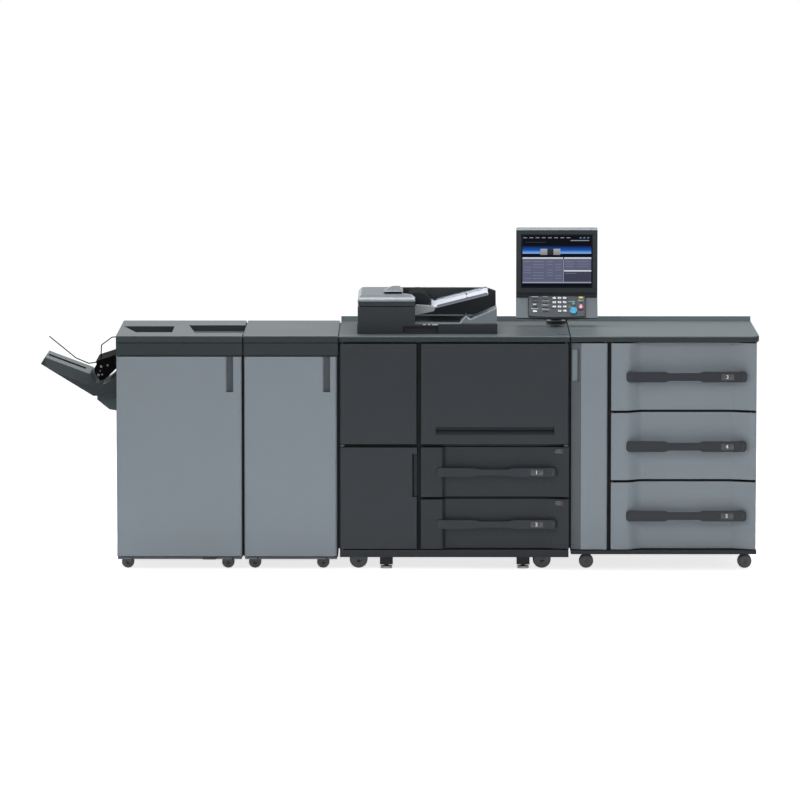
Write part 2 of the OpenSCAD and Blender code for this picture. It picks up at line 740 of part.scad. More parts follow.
// Side view of the tray, a deep moulding that climbs away from the cabinet
tray_foot = -184;
tray_top = [[317, -18], [124, -90]];
TRAY = concat([[tray_reach, -45], [108, tray_foot], [8, tray_foot], [8, -100], [14, -100],
    [50, -128], [66, -134], [96, -128]], [tray_top[1], tray_top[0]]);
tray_run = norm(tray_top[0] - tray_top[1]);
tray_angle = atan2(tray_top[1][1] - tray_top[0][1], tray_top[0][0] - tray_top[1][0]);
bevel_y = 22;
bevel_z = 46;

// Frame on the top of the tray: X runs down the slope from the tip, Z stands off it
module on_tray() translate([x_fin - tray_top[0][0], 0, exit_z + tray_top[0][1]])
    rotate([0, -tray_angle, 0]) children();

module output_tray() color(c_dark) difference() {
    along_y(tray_y0, tray_y0 + tray_w) polygon(outline(TRAY));
    on_tray() {
        // both sides lean in above a crease
        for (side = [0, 1])
            translate([0, tray_y0 + side * tray_w, 0]) mirror([0, side, 0])
                along_x(-60, tray_run + 14) polygon([[-1, 1], [bevel_y, 1], [-1, -bevel_z]]);
        // long finger channel in the top
        block([8, tray_y0 + 140, -12], [tray_run - 26, tray_y0 + tray_w - 140, 1]);
    }
}

// Bracket under the tray, with two tongues that run in the tracks
module tray_carriage() color(c_black) {
    along_y(tray_y0 + 40, tray_y0 + tray_w - 40)
        polygon(outline([[93, tray_foot - skin], [93, -204], [40, -247], [8, -252],
            [8, tray_foot - skin]]));
    for (y = carriage_y)
        union() {
            block([x_fin - 9, y - track_w / 2 + 6, exit_z - 249],
                [x_fin + track_in - 6, y + track_w / 2 - 6, exit_z - 189]);
            for (z = [exit_z - 243, exit_z - 211])
                block([x_fin + 10, y - track_w / 2 + fit, z],
                    [x_fin + track_in - 8, y + track_w / 2 - fit, z + 16]);
        }
}

wire_r = 2.5;
module rod(points, y) {
    for (i = [0 : len(points) - 2])
        hull()
            for (p = [points[i], points[i + 1]])
                translate([p.x, y, p.y]) sphere(r = wire_r, $fn = 10);
}

// Bent wires that hold the sheets down on the tray
module paper_stoppers() color(c_black) {
    rod(outline([[301, 66], [186, -28], [131, -51], [97.8, -46]]), tray_y0 + 90);
    rod(outline([[77, -24.8], [74, 32], [28, 66], [wire_r + skin, 68]]), tray_y0 + 60);
}

// ---- Document feeder ----

ax0 = x_main + adf_x;
ax1 = ax0 + adf_w;
ay1 = y_b - adf_back;
ay0 = ay1 - adf_d;
az0 = work_z + fit;
lid_top = az0 + lid_h;
adf_top = work_z + adf_h;
hinge_y = ay1 + 20;
hinge_z = work_z + 30;
hinge_x = [ax0 + 90, ax1 - 130];
knuckle_w = 40;
knuckle_r = 14;
hinge_pin_r = 6;
cheek_t = 8;
wall_y0 = ay1 - 44;
wall_y1 = ay1 - 10;
cover_r = 22.5;
cover_z = adf_top - 2 * cover_r;
shelf_z = cover_z - 3;

module feeder_hinges() color(c_steel)
    for (x = hinge_x) {
        difference() {
            block([x - cheek_t - 2, hinge_y - 16, work_z],
                [x + knuckle_w + cheek_t + 2, hinge_y + 16, hinge_z + 12]);
            block([x - 2, hinge_y - 17, work_z + 8], [x + knuckle_w + 2, hinge_y + 17, hinge_z + 13]);
        }
        translate([x - 3, hinge_y, hinge_z]) rotate([0, 90, 0])
            cylinder(r = hinge_pin_r, h = knuckle_w + 6);
    }

// Outline of the wall behind the paper exit: round left shoulder, chamfered right one
function wall_outline() = concat(
    [[ax0 + 6, lid_top - 1], [ax1 - 1, lid_top - 1], [ax1 - 2, adf_top - 17],
        [ax1 - 42, adf_top - 3]],
    arc(ax0 + 6 + cover_r, adf_top - 3 - cover_r, cover_r, 90, 180));

ramp_x = ax0 + 442;
ramp_w = ax1 - 2 - ramp_x;
module feeder_lid() color(c_dark) {
    difference() {
        union() {
            translate([ax0, ay0, az0]) linear_extrude(lid_h) polygon(rounded(adf_w, adf_d, 10));
            for (x = hinge_x) {
                block([x, ay1 - 10, hinge_z - 10], [x + knuckle_w, hinge_y, hinge_z + 10]);
                translate([x, hinge_y, hinge_z]) rotate([0, 90, 0])
                    cylinder(r = knuckle_r, h = knuckle_w);
            }
            along_y(wall_y0, wall_y1) polygon(wall_outline());
            // ramp that lifts the far end of the delivered sheets
            intersection() {
                along_y(ay0 + 8, ay0 + 210) translate([ramp_x, lid_top])
                    polygon([[0, -1], [27, 30], [45, 15], [ramp_w, 63], [ramp_w, -1]]);
                along_x(ramp_x, ax1) translate([ay0, lid_top])
                    polygon([[8, -1], [8, 2], [36, 65], [210, 65], [210, -1]]);
            }
        }
        for (x = hinge_x)
            translate([x - 1, hinge_y, hinge_z]) rotate([0, 90, 0])
                cylinder(r = hinge_pin_r + fit, h = knuckle_w + 2);
        // finger grip in the front edge
        block([ax0 + 198, ay0 - 1, az0 + 4], [ax0 + 350, ay0 + 22, az0 + 32]);
    }
}

cover_axis = [ax0 + 2 + cover_r, cover_z + cover_r];
cover_pin_r = 4;
cover_y0 = ay0 + 2;
cover_y1 = wall_y0 - 6;
knuckles = [cover_y0 + 40, cover_y1 - 60];
cover_knuckle_w = 20;
module feeder_housing() color(c_dark) {
    translate([ax0 + 2, ay0 + 2, lid_top + skin]) linear_extrude(shelf_z - lid_top - skin)
        polygon(rounded(feeder_w - 2, wall_y0 - skin - ay0 - 2, 9));
    for (y = knuckles)
        along_y(y, y + cover_knuckle_w)
            polygon(concat([[ax0 + 6, shelf_z - 1], [cover_axis.x + 8, shelf_z - 1]],
                arc(cover_axis.x, cover_axis.y, 8, 0, 180, 8)));
    along_y(cover_y0 + 22, cover_y1 - 22) translate(cover_axis) circle(r = cover_pin_r);
}

// The cover turns about its rounded left edge; its front lip rolls over a recessed band
lip_z = cover_z + 22;
lip_deep = 60;
drum_x = ax0 + 203;
drum_y0 = ay0 + 131;
module feeder_cover() color(c_dark) difference() {
    intersection() {
        along_y(cover_y0, cover_y1) polygon(concat(
            arc(cover_axis.x, cover_axis.y, cover_r, 270, 90, 16),
            [[ax0 + feeder_w - 40, adf_top], [ax0 + feeder_w - 12, adf_top - 5],
                [ax0 + feeder_w, adf_top - 17], [ax0 + feeder_w, cover_z]]));
        along_x(ax0, ax0 + feeder_w + 1) polygon(concat(
            [[cover_y1, cover_z], [cover_y1, adf_top + 1], [cover_y0 + lip_deep, adf_top + 1]],
            [for (i = [0 : 8]) [cover_y0 + lip_deep * (1 - sin(90 * i / 8)),
                lip_z + (adf_top - lip_z) * cos(90 * i / 8)]],
            [[cover_y0, lip_z - 3], [cover_y0 + 3, lip_z - 4], [cover_y0 + 3, cover_z]]));
    }
    block([drum_x - 6, drum_y0 - 6, cover_z - 1], [ax0 + feeder_w + 1, cover_y1 + 1, adf_top + 1]);
    for (y = knuckles)
        block([cover_axis.x - cover_r - 1, y - fit, cover_z - 1],
            [cover_axis.x + 9, y + cover_knuckle_w + fit, cover_axis.y + 9]);
    along_y(cover_y0 + 20, cover_y1 - 20) translate(cover_axis) circle(r = cover_pin_r + fit);
}

// Raised grip on the cover, hollow under its front edge
module cover_grip() color(c_dark) translate([ax0 + 116, ay0, adf_top]) intersection() {
    along_x(0, 77) polygon([[105, 8], [109, 13], [190, 27], [214, 26], [222, 10], [222, skin],
        [146, skin], [112, 6]]);
    along_y(100, 225)
        polygon([[0, skin], [0, 12], [28, 23], [50, 28], [68, 25], [77, 10], [77, skin]]);
}

// Round cover over the feed rollers
drum_r = 58;
drum_c = [drum_x + drum_r, shelf_z - 7];
module roller_cover() color(c_black) along_y(drum_y0, doc_y1 - 6) polygon(concat(
    [[drum_x + 1, shelf_z + skin], [drum_c.x + 40, shelf_z + skin]],
    arc(drum_c.x, drum_c.y, drum_r, 12, 172, 20)));

// The document tray turns on two arms of the feeder
doc_x0 = ax0 + feeder_w + 76;
doc_z0 = work_z + 100;
doc_y0 = ay0 + 96;
doc_y1 = ay1 - 85;
doc_len = 248;
doc_rise = 14.1;
doc_t = 6;
doc_under = 1;
doc_r = 8;
arm_t = 8;
doc_pin_r = 4;
doc_pin_in = 14;
slot_at = 150;
peg = 8;
peg_l = 12;
peg_in = 12;
guide_travel = 80;
fence_h = 6;
fence_t = 4;

// Frame of the document tray: X runs up its slope from the hinge
module on_document_tray() translate([doc_x0, 0, doc_z0]) rotate([0, -doc_rise, 0]) children();

module document_tray() color(c_guide) difference() {
    union() {
        on_document_tray() difference() {
            block([doc_r * 0.7, doc_y0, -doc_under], [doc_len, doc_y1, doc_t - doc_under]);
            // slots for the pegs of the two paper guides
            for (y = [doc_y0 + peg_in, doc_y1 - peg_in - peg_l - guide_travel])
                block([slot_at, y - fit, -doc_under - 1],
                    [slot_at + peg, y + peg_l + guide_travel + fit, doc_t]);
        }
        along_y(doc_y0 + 1, doc_y1 - 1) translate([doc_x0, doc_z0]) circle(r = doc_r);
    }
    for (y = [[doc_y0 - 1, doc_y0 + doc_pin_in], [doc_y1 - doc_pin_in, doc_y1 + 1]])
        along_y(y[0], y[1]) translate([doc_x0, doc_z0]) circle(r = doc_pin_r + fit);
}

// Paper guide: fence, flat foot and a peg that runs in the slot of the tray
module paper_guide() {
    z0 = doc_t - doc_under + fit;
    along_y(0, fence_t)
        polygon([[20, z0], [doc_len - 2, z0], [doc_len - 2, z0 + fence_h - 3],
            [doc_len - 5, z0 + fence_h], [24, z0 + fence_h], [20, z0 + fence_h - 4]]);
    block([60, fence_t - 1, z0], [doc_len - 30, 44, z0 + 2]);
    block([slot_at + fit, peg_in - 1, -doc_under], [slot_at + peg - fit, peg_in - 1 + peg_l, z0 + 1]);
}

module guide_front() color(c_guide) on_document_tray()
    translate([0, doc_y0 + 1, 0]) paper_guide();
module guide_rear() color(c_guide) on_document_tray()
    translate([0, doc_y1 - 1, 0]) mirror([0, 1, 0]) paper_guide();

// Arms from the housing to the tray's barrel, each with its pin
module tray_arm(y0, y1, pin0, pin1) union() {
    x = ax0 + feeder_w;
    along_y(y0, y1)
        polygon(concat([[x + skin, shelf_z - 41], [x + 12, shelf_z - 41]],
            arc(doc_x0 - 4, doc_z0, 13, -50, 75),
            [[x + 7, cover_z], [x + skin, shelf_z - 5]]));
    along_y(pin0, pin1) translate([doc_x0, doc_z0]) circle(r = doc_pin_r);
}

module tray_arms() color(c_pale) {
    tray_arm(doc_y0 - fit - arm_t, doc_y0 - fit, doc_y0 - fit - 1, doc_y0 + doc_pin_in - 1);
    tray_arm(doc_y1 + fit, doc_y1 + fit + arm_t, doc_y1 - doc_pin_in + 1, doc_y1 + fit + 1);
}

// ---- Control panel ----

stand = [x_main + main_w - stand_x, y_b - stand_back];
neck_r = 17;
stand_h = 60;
tilt_z = work_z + 190;
panel_y = stand.y - 74;
screen_w = 312;
screen_h = 235;
screen_in = 27;
screen_deep = 4;
console_z = work_z + 32;
console_out = 50;
console_lip = 8;
step_h = 22;
step_in = 8;
panel_z0 = console_z + console_h + step_h;
panel_z1 = panel_z0 + panel_h;
panel_x0 = stand.x - panel_w / 2;
sag = 5;

module panel_stand() color(c_dark) translate([stand.x, stand.y, work_z]) {
    cylinder(r = stand_r, h = 14);
    cylinder(r = neck_r + 8, h = stand_h);
}

tilt_axis = [panel_y + 20, tilt_z];
barrel_r = 14;
barrel_w = 70;
tilt_pin_r = 6;
ear_w = 9;

// Column with an arm forward to the tilt barrel
module panel_neck() color(c_black) difference() {
    union() {
        translate([stand.x, stand.y, work_z + stand_h])
            cylinder(r = neck_r, h = tilt_z + barrel_r - work_z - stand_h);
        block([stand.x - barrel_w / 2, tilt_axis[0], tilt_z - barrel_r],
            [stand.x + barrel_w / 2, stand.y, tilt_z + barrel_r]);
        along_x(stand.x - barrel_w / 2, stand.x + barrel_w / 2)
            translate(tilt_axis) circle(r = barrel_r);
    }
    along_x(stand.x - barrel_w, stand.x + barrel_w) translate(tilt_axis)
        circle(r = tilt_pin_r + fit);
}

// Ears on the back of the display, with the tilt pin between them
module panel_ears() {
    for (x = [stand.x - barrel_w / 2 - fit - ear_w, stand.x + barrel_w / 2 + fit]) {
        block([x, panel_y - 1, tilt_z - 12], [x + ear_w, tilt_axis[0], tilt_z + 12]);
        along_x(x, x + ear_w) translate(tilt_axis) circle(r = 12);
    }
    along_x(stand.x - barrel_w / 2 - 1, stand.x + barrel_w / 2 + 1) translate(tilt_axis)
        circle(r = tilt_pin_r);
}

// Front outline: square shoulders above, a lower edge that sags in the middle
module panel_outline() polygon(concat(
    arc(panel_w - 5, panel_z1 - 5, 5, 0, 90, 4), arc(5, panel_z1 - 5, 5, 90, 180, 4),
    [for (i = [0 : 12]) [panel_w * i / 12, console_z + sag * (1 - sin(180 * i / 12))]]));

// Side profile: upright display, a dark step, and a console that slopes out to the front
face_top = [panel_y - panel_t, console_z + console_h];
face_foot = [panel_y - panel_t - console_out, console_z + console_lip];
face_len = norm(face_top - face_foot);
face_angle = atan2(face_top[1] - face_foot[1], console_out);

module panel_housing() color(c_dark) {
    panel_ears();
    difference() {
        intersection() {
            along_x(panel_x0, panel_x0 + panel_w)
                polygon([[panel_y - panel_t, panel_z0], [panel_y - panel_t + step_in, panel_z0],
                    [panel_y - panel_t + step_in, face_top[1]], face_top, face_foot,
                    [face_foot[0], console_z - 1], [panel_y - 14, console_z - 1],
                    [panel_y, console_z + 30], [panel_y, panel_z1], [panel_y - panel_t + 10, panel_z1],
                    [panel_y - panel_t, panel_z1 - 8]]);
            translate([panel_x0, 0, 0]) along_y(face_foot[0] - 1, panel_y + 1) panel_outline();
        }
        block([stand.x - screen_w / 2 - fit, panel_y - panel_t - 1,
                panel_z1 - screen_in - screen_h - fit],
            [stand.x + screen_w / 2 + fit, panel_y - panel_t + screen_deep,
                panel_z1 - screen_in + fit]);
    }
}

// The display sits in a shallow pocket of the housing
module panel_screen() color(c_glass)
    block([stand.x - screen_w / 2, panel_y - panel_t + 1, panel_z1 - screen_in - screen_h],
        [stand.x + screen_w / 2, panel_y - panel_t + screen_deep - skin, panel_z1 - screen_in]);

// Keypad plate, laid on the sloping face of the console
keypad_w = 250;
keypad_t = 6;
keypad_up = 5;
keypad_in = 6;
module panel_keypad() color(c_black)
    translate([stand.x, face_top[0], face_top[1]]) rotate([face_angle, 0, 0])
        translate([-keypad_w / 2, 0, skin]) linear_extrude(keypad_t) polygon(concat(
            [[keypad_w - 4, keypad_up], [4, keypad_up], [0, keypad_up - 4]],
            [for (i = [0 : 10])
                [keypad_w * i / 10, keypad_in - face_len - sag * sin(180 * i / 10)]],
            [[keypad_w, keypad_up - 4]]));

finisher_frame();
finisher_door();
finisher_top();
finisher_kick();
exit_unit();
paper_stoppers();
output_tray();
tray_carriage();
relay_frame();
relay_door();
relay_top();
relay_kick();
main_frame();
upper_left_door();
lower_left_door();
right_door();
main_worktop();
main_skirt();
platen_glass();
levelling_feet();
drawer_1_front();
drawer_1_handle();
drawer_1_bin();
drawer_2_front();
drawer_2_handle();
drawer_2_bin();
feed_frame();
feed_door();
feed_worktop();
feed_skirt();
drawer_3_front();
drawer_3_handle();
drawer_3_bin();
drawer_4_front();
drawer_4_handle();
drawer_4_bin();
drawer_5_front();
drawer_5_handle();
drawer_5_bin();
docking_frames();
door_hinges();
caster_forks();
caster_wheels();
rear_covers();
side_covers();
feeder_hinges();
feeder_lid();
feeder_housing();
roller_cover();
tray_arms();
feeder_cover();
cover_grip();
document_tray();
guide_front();
guide_rear();
panel_stand();
panel_neck();
panel_housing();
panel_screen();
panel_keypad();
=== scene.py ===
import json
import math

import bmesh
import bpy
from mathutils import Matrix, Vector


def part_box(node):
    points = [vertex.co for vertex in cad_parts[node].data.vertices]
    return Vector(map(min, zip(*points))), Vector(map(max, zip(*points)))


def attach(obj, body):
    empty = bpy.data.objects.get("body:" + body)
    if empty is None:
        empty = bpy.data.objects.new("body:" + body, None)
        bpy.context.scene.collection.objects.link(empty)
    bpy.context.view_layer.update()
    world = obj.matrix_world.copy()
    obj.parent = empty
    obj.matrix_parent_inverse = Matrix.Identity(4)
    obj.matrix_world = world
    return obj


bl_info = {
    "name": "Production Printer Dressing",
    "version": (1, 0, 0),
    "blender": (4, 5, 0),
    "location": "3D View > Sidebar > Printer",
    "description": "Finishes, markings and small fittings of a digital production printer",
    "category": "Object",
}

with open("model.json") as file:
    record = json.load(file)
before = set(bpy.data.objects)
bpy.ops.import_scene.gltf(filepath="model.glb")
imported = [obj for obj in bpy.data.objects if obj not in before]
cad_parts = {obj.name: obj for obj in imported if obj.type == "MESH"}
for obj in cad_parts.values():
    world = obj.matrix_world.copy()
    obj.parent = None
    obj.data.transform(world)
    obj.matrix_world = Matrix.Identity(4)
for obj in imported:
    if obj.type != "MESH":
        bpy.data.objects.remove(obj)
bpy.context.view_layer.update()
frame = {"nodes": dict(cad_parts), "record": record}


def linear(red, green, blue):
    """Linear colour of sRGB values that run from 0 to 255."""
    return tuple(
        c / 12.92 if c <= 0.04045 else ((c + 0.055) / 1.055) ** 2.4
        for c in (red / 255, green / 255, blue / 255)
    )


def shade(colour, factor):
    """A darker or lighter colour of the same hue."""
    return tuple(min(1.0, c * factor) for c in colour[:3])


# ---- Shader nodes ----


class Value:
    """A node socket that takes arithmetic: each operator adds its Math node."""

    def __init__(self, finish, socket):
        self.finish = finish
        self.socket = socket

    def math(self, operation, first, second):
        return self.finish.node("ShaderNodeMath", {"operation": operation}, {0: first, 1: second})

    def __add__(self, other):
        return self.math("ADD", self, other)

    def __radd__(self, other):
        return self.math("ADD", other, self)

    def __sub__(self, other):
        return self.math("SUBTRACT", self, other)

    def __rsub__(self, other):
        return self.math("SUBTRACT", other, self)

    def __mul__(self, other):
        return self.math("MULTIPLY", self, other)

    def __rmul__(self, other):
        return self.math("MULTIPLY", other, self)

    def __gt__(self, other):
        return self.math("GREATER_THAN", self, other)

    def __lt__(self, other):
        return self.math("LESS_THAN", self, other)


class Nodes:
    """The nodes of one material or of the world."""

    def __init__(self, owner, shader):
        owner.use_nodes = True
        self.tree = owner.node_tree
        self.shader = self.tree.nodes[shader]

    def node(self, kind, settings=None, sockets=None, output=0):
        """Adds a node: its settings first, then the values or links of its sockets."""
        made = self.tree.nodes.new(kind)
        for key, value in (settings or {}).items():
            setattr(made, key, value)
        self.feed(made, sockets or {})
        return Value(self, made.outputs[output])

    def feed(self, node, sockets):
        """Sets or links the sockets of a node."""
        for key, value in sockets.items():
            if isinstance(value, Value):
                self.tree.links.new(value.socket, node.inputs[key])
            else:
                socket = node.inputs[key]
                wide = socket.type == "RGBA" and len(value) == 3
                socket.default_value = (*value, 1.0) if wide else value

    def surface(self, **sockets):
        """Sets or links sockets of the shader; Base_Color stands for Base Color."""
        self.feed(self.shader, {key.replace("_", " "): v for key, v in sockets.items()})
        return self

    def seen_directly(self):
        """1 for what the camera, a reflection or clear glass shows, else 0."""
        return (
            self.node("ShaderNodeLightPath", output="Is Camera Ray")
            + self.node("ShaderNodeLightPath", output="Is Glossy Ray")
            + self.node("ShaderNodeLightPath", output="Is Transmission Ray")
        )

    def place(self):
        """Position in the frame that the whole row shares."""
        return self.node("ShaderNodeTexCoord", output="Object")

    def axes(self, place):
        """The X, Y and Z parts of a position or a direction."""
        split = self.node("ShaderNodeSeparateXYZ", sockets={0: place})
        outputs = split.socket.node.outputs
        return [Value(self, outputs[i]) for i in range(3)]

    def scaled(self, place, factors):
        """A position with each of its parts times its own factor."""
        return self.node("ShaderNodeVectorMath", {"operation": "MULTIPLY"}, {0: place, 1: factors})

    def noise(self, place, scale, detail=2.0):
        """Soft random clouds; a larger scale makes them finer."""
        return self.node(
            "ShaderNodeTexNoise", sockets={"Vector": place, "Scale": scale, "Detail": detail}
        )

    def mix(self, factor, first, second):
        """The first colour at 0, the second at 1, a blend between."""
        return self.node(
            "ShaderNodeMix", {"data_type": "RGBA"}, {0: factor, 6: first, 7: second}, output=2
        )

    def bump(self, height, distance, normal=None):
        """Direction of a surface that rises by a distance where the height is 1."""
        sockets = {"Height": height, "Distance": distance, "Strength": 1.0}
        if normal is not None:
            sockets["Normal"] = normal
        return self.node("ShaderNodeBump", sockets=sockets)


class Finish(Nodes):
    """One material and the calls that build its nodes."""

    def __init__(self, name):
        self.material = bpy.data.materials.new(name)
        super().__init__(self.material, "Principled BSDF")


# how strongly moulded plastic mirrors, against the shader's usual half
DULL = 0.2
# turn of a softened edge, as a cosine, where its paler tone, partly wear and partly painted
# highlight, begins and where it is full
WEAR_AND_HIGHLIGHT_START = 0.995
WEAR_AND_HIGHLIGHT_FULL = 0.80
WEAR_AND_HIGHLIGHT_SHARE = 0.35
WEAR_AND_HIGHLIGHT_TONE = 1.5


def moulded(name, colour, rough, grain, depth=0.00004, mottle=0.05, edge=0.0012, **sockets):
    """Painted sheet or moulded plastic: fine grain, faint clouds, soft edges made paler by wear
    and by a painted highlight.
    """
    f = Finish(name)
    sockets.setdefault("Specular_IOR_Level", DULL)
    place = f.place()
    cloud = f.noise(place, 3.2, 3.0)
    speck = f.noise(place, 1 / grain, 1.0)
    tone = f.mix(
        cloud * 0.7 + speck * 0.3, shade(colour, 1 - mottle), shade(colour, 1 + mottle)
    )
    soft = f.node("ShaderNodeBevel", {"samples": 4}, {"Radius": edge})
    hard = f.node("ShaderNodeNewGeometry", output="Normal")
    turn = f.node(
        "ShaderNodeVectorMath", {"operation": "DOT_PRODUCT"}, {0: soft, 1: hard}, "Value"
    )
    # paler edges: partly wear, partly a painted highlight along the softened edges
    wear_and_highlight = f.node(
        "ShaderNodeMapRange",
        {"clamp": True},
        {0: turn, 1: WEAR_AND_HIGHLIGHT_START, 2: WEAR_AND_HIGHLIGHT_FULL, 3: 0.0, 4: WEAR_AND_HIGHLIGHT_SHARE},
    )
    f.surface(
        Base_Color=f.mix(wear_and_highlight, tone, shade(colour, WEAR_AND_HIGHLIGHT_TONE)),
        Roughness=rough + (cloud - 0.5) * 0.10 + (speck - 0.5) * 0.08,
        Normal=f.bump(speck, depth, soft),
        **sockets,
    )
    return f


def paint(look, name, colour, rough, depth=0.00004, mottle=0.05, **sockets):
    """Moulded finish with the grain and the soft edges that the user chose."""
    return moulded(name, colour, rough, look.grain, depth, mottle, look.softness, **sockets)


def base_colour(f):
    """What feeds the base colour of a finish so far."""
    return Value(f, f.shader.inputs["Base Color"].links[0].from_socket)


def retone(f, mask, factor):
    """Makes the base colour of a finish paler or darker where a mask is 1."""
    base = base_colour(f)
    other = f.node("ShaderNodeVectorMath", {"operation": "SCALE"}, {0: base, "Scale": factor})
    f.surface(Base_Color=f.mix(mask, base, other))
    return f


def above(f, level, factor):
    """Painted light: another tone over a level, as on the paler strip of a fascia."""
    return retone(f, f.axes(f.place())[2] > level, factor)


def ranged(f, value, low, high):
    """0 up to one value, 1 from another on."""
    return f.node(
        "ShaderNodeMapRange", {"clamp": True}, {0: value, 1: low, 2: high, 3: 0.0, 4: 1.0}
    )


def facing(f):
    """The three parts of a piece's own surface direction."""
    return f.axes(f.node("ShaderNodeTexCoord", output="Normal"))


# depth of the grips behind the face of a door
GRIP_DEPTH = 0.020
# upward parts of a direction between which a face counts as a level top
TOP_START = 0.86
TOP_FULL = 0.97


def recessed(f, level, bottom, wall):
    """Painted shade: darker with depth inside the grips of a front, and darkest on their walls."""
    depth = ranged(f, f.axes(f.place())[1], level + 0.1 * GRIP_DEPTH, level + GRIP_DEPTH)
    retone(f, depth, bottom)
    return retone(f, (depth > 0.05) * (facing(f)[1] > -0.5), wall)


def crowned(f, slopes, tops, start=0.2, full=0.6):
    """Painted light: paler on sloping faces and on tops, where overhead light and reflections fall
    on dark plastic.
    """
    up = facing(f)[2]
    retone(f, ranged(f, up, start, full), slopes)
    return retone(f, ranged(f, up, TOP_START, TOP_FULL), tops / slopes)


def brushed(name, colour, rough, stretch):
    """Plated or bare sheet: long fine strokes over a faint cloudy spangle."""
    f = Finish(name)
    place = f.place()
    stroke = f.noise(f.scaled(place, stretch), 1.0, 3.0)
    spangle = f.node(
        "ShaderNodeTexVoronoi", sockets={"Vector": place, "Scale": 95.0}, output="Color"
    )
    grey = f.axes(spangle)[0]
    f.surface(
        Base_Color=f.mix(stroke * 0.6 + grey * 0.4, shade(colour, 0.82), shade(colour, 1.12)),
        Metallic=1.0,
        Roughness=rough + (stroke - 0.5) * 0.2 + (grey - 0.5) * 0.08,
        Normal=f.bump(stroke, 0.00003),
    )
    return f


def tinted(name, rough, glow=0.0, **sockets):
    """Takes its colour from the piece's own face colours, for keys and markings."""
    f = Finish(name)
    tint = f.node("ShaderNodeVertexColor", {"layer_name": "tint"}, output="Color")
    fine = f.noise(f.place(), 900.0, 1.0)
    shaded = f.mix(fine, tint, f.mix(0.12, tint, (0.0, 0.0, 0.0)))
    if glow:
        f.surface(Base_Color=(0.005, 0.005, 0.006), Emission_Color=shaded)
        f.surface(Emission_Strength=glow)
    else:
        f.surface(Base_Color=shaded)
    f.surface(Roughness=rough + (fine - 0.5) * 0.1, **sockets)
    return f


# ---- Sizes and colours that a user would change ----


def colour_property(name, description, default):
    """Linear colour that a user may change."""
    return bpy.props.FloatVectorProperty(
        name=name,
        description=description,
        default=default,
        size=3,
        min=0.0,
        max=1.0,
        subtype="COLOR",
    )


def length_property(name, description, default):
    """Length in metres that a user may change."""
    return bpy.props.FloatProperty(
        name=name, description=description, default=default, min=0.0, unit="LENGTH"
    )


class PrinterFinish(bpy.types.PropertyGroup):
    """Colours, grain and edges of the cabinet"""

    door: colour_property("Doors", "Blue-grey of the outer cabinets", linear(133, 142, 149))
    engine: colour_property("Engine doors", "Charcoal of the main engine", linear(48, 52, 56))
    cover: colour_property("Covers", "Charcoal of covers and worktops", linear(45, 52, 54))
    moulding: colour_property("Mouldings", "Dark grey of the moulded parts", linear(52, 56, 59))
    black: colour_property("Black", "Black of handles and skirts", linear(47, 50, 55))
    pale: colour_property("Kick strips", "Pale grey of the kick strips", linear(104, 110, 117))
    guide: colour_property("Document tray", "Lavender grey of the tray", linear(146, 151, 160))
    grain: length_property("Grain", "Size of the moulded grain", 0.0014)
    softness: length_property("Edge softness", "Radius that edges appear to have", 0.0012)


class PrinterMarks(bpy.types.PropertyGroup):
    """Sizes of figures, keys and screws, and the colour of print"""

    digit: length_property("Digit height", "Height of the numbers on the drawers", 0.0165)
    key: length_property("Key width", "Width of one digit key", 0.0155)
    screw: length_property("Screw head", "Radius of the cover screws", 0.0042)
    white: colour_property("White print", "Colour of printed marks", linear(226, 228, 230))


class PrinterStage(bpy.types.PropertyGroup):
    """Camera and lamps"""

    lens: bpy.props.FloatProperty(
        name="Lens", description="Focal length of the camera", default=270.5, unit="CAMERA"
    )
    distance: length_property("Distance", "From the front plane to the camera", 25.7)
    height: length_property("Height", "Height of the camera above the floor", 3.492)
    lamp: bpy.props.FloatProperty(
        name="Lamps", description="Power of the soft boxes", default=205.0, unit="POWER"
    )
    sky: bpy.props.FloatProperty(
        name="Surround", description="Strength of the light from all round", default=0.31
    )


# ---- Building small pieces ----

FRONT = Matrix.Rotation(math.pi / 2, 4, "X")
UNPAINTED = (1.0, 1.0, 1.0)
ROUND = 24
# height of a capital figure as a share of the size of its type
FIGURE_SHARE = 0.72
FIGURE_RISE = 0.00015
# edges that turn by more than this stay sharp
SHARP = math.radians(40)


def at(x, y, z, turn=FRONT):
    """Frame at a point; by default X runs right, Y runs up and Z comes out to the front."""
    return Matrix.Translation((x, y, z)) @ turn


def round_rect(width, height, radius, count=4):
    """Counter-clockwise outline about the origin with rounded corners."""
    radius = min(radius, width / 2, height / 2)
    points = []
    for corner in range(4):
        cx = (width / 2 - radius) * (1 if corner in (0, 3) else -1)
        cy = (height / 2 - radius) * (1 if corner < 2 else -1)
        for i in range(count + 1):
            a = math.pi / 2 * (corner + i / count)
            points.append((cx + radius * math.cos(a), cy + radius * math.sin(a)))
    return points


def circle(radius, count=ROUND):
    """Counter-clockwise ring of points about the origin."""
    turn = 2 * math.pi / count
    return [(radius * math.cos(i * turn), radius * math.sin(i * turn)) for i in range(count)]


def lift(outline, z):
    """An outline at a height."""
    return [(x, y, z) for x, y in outline]


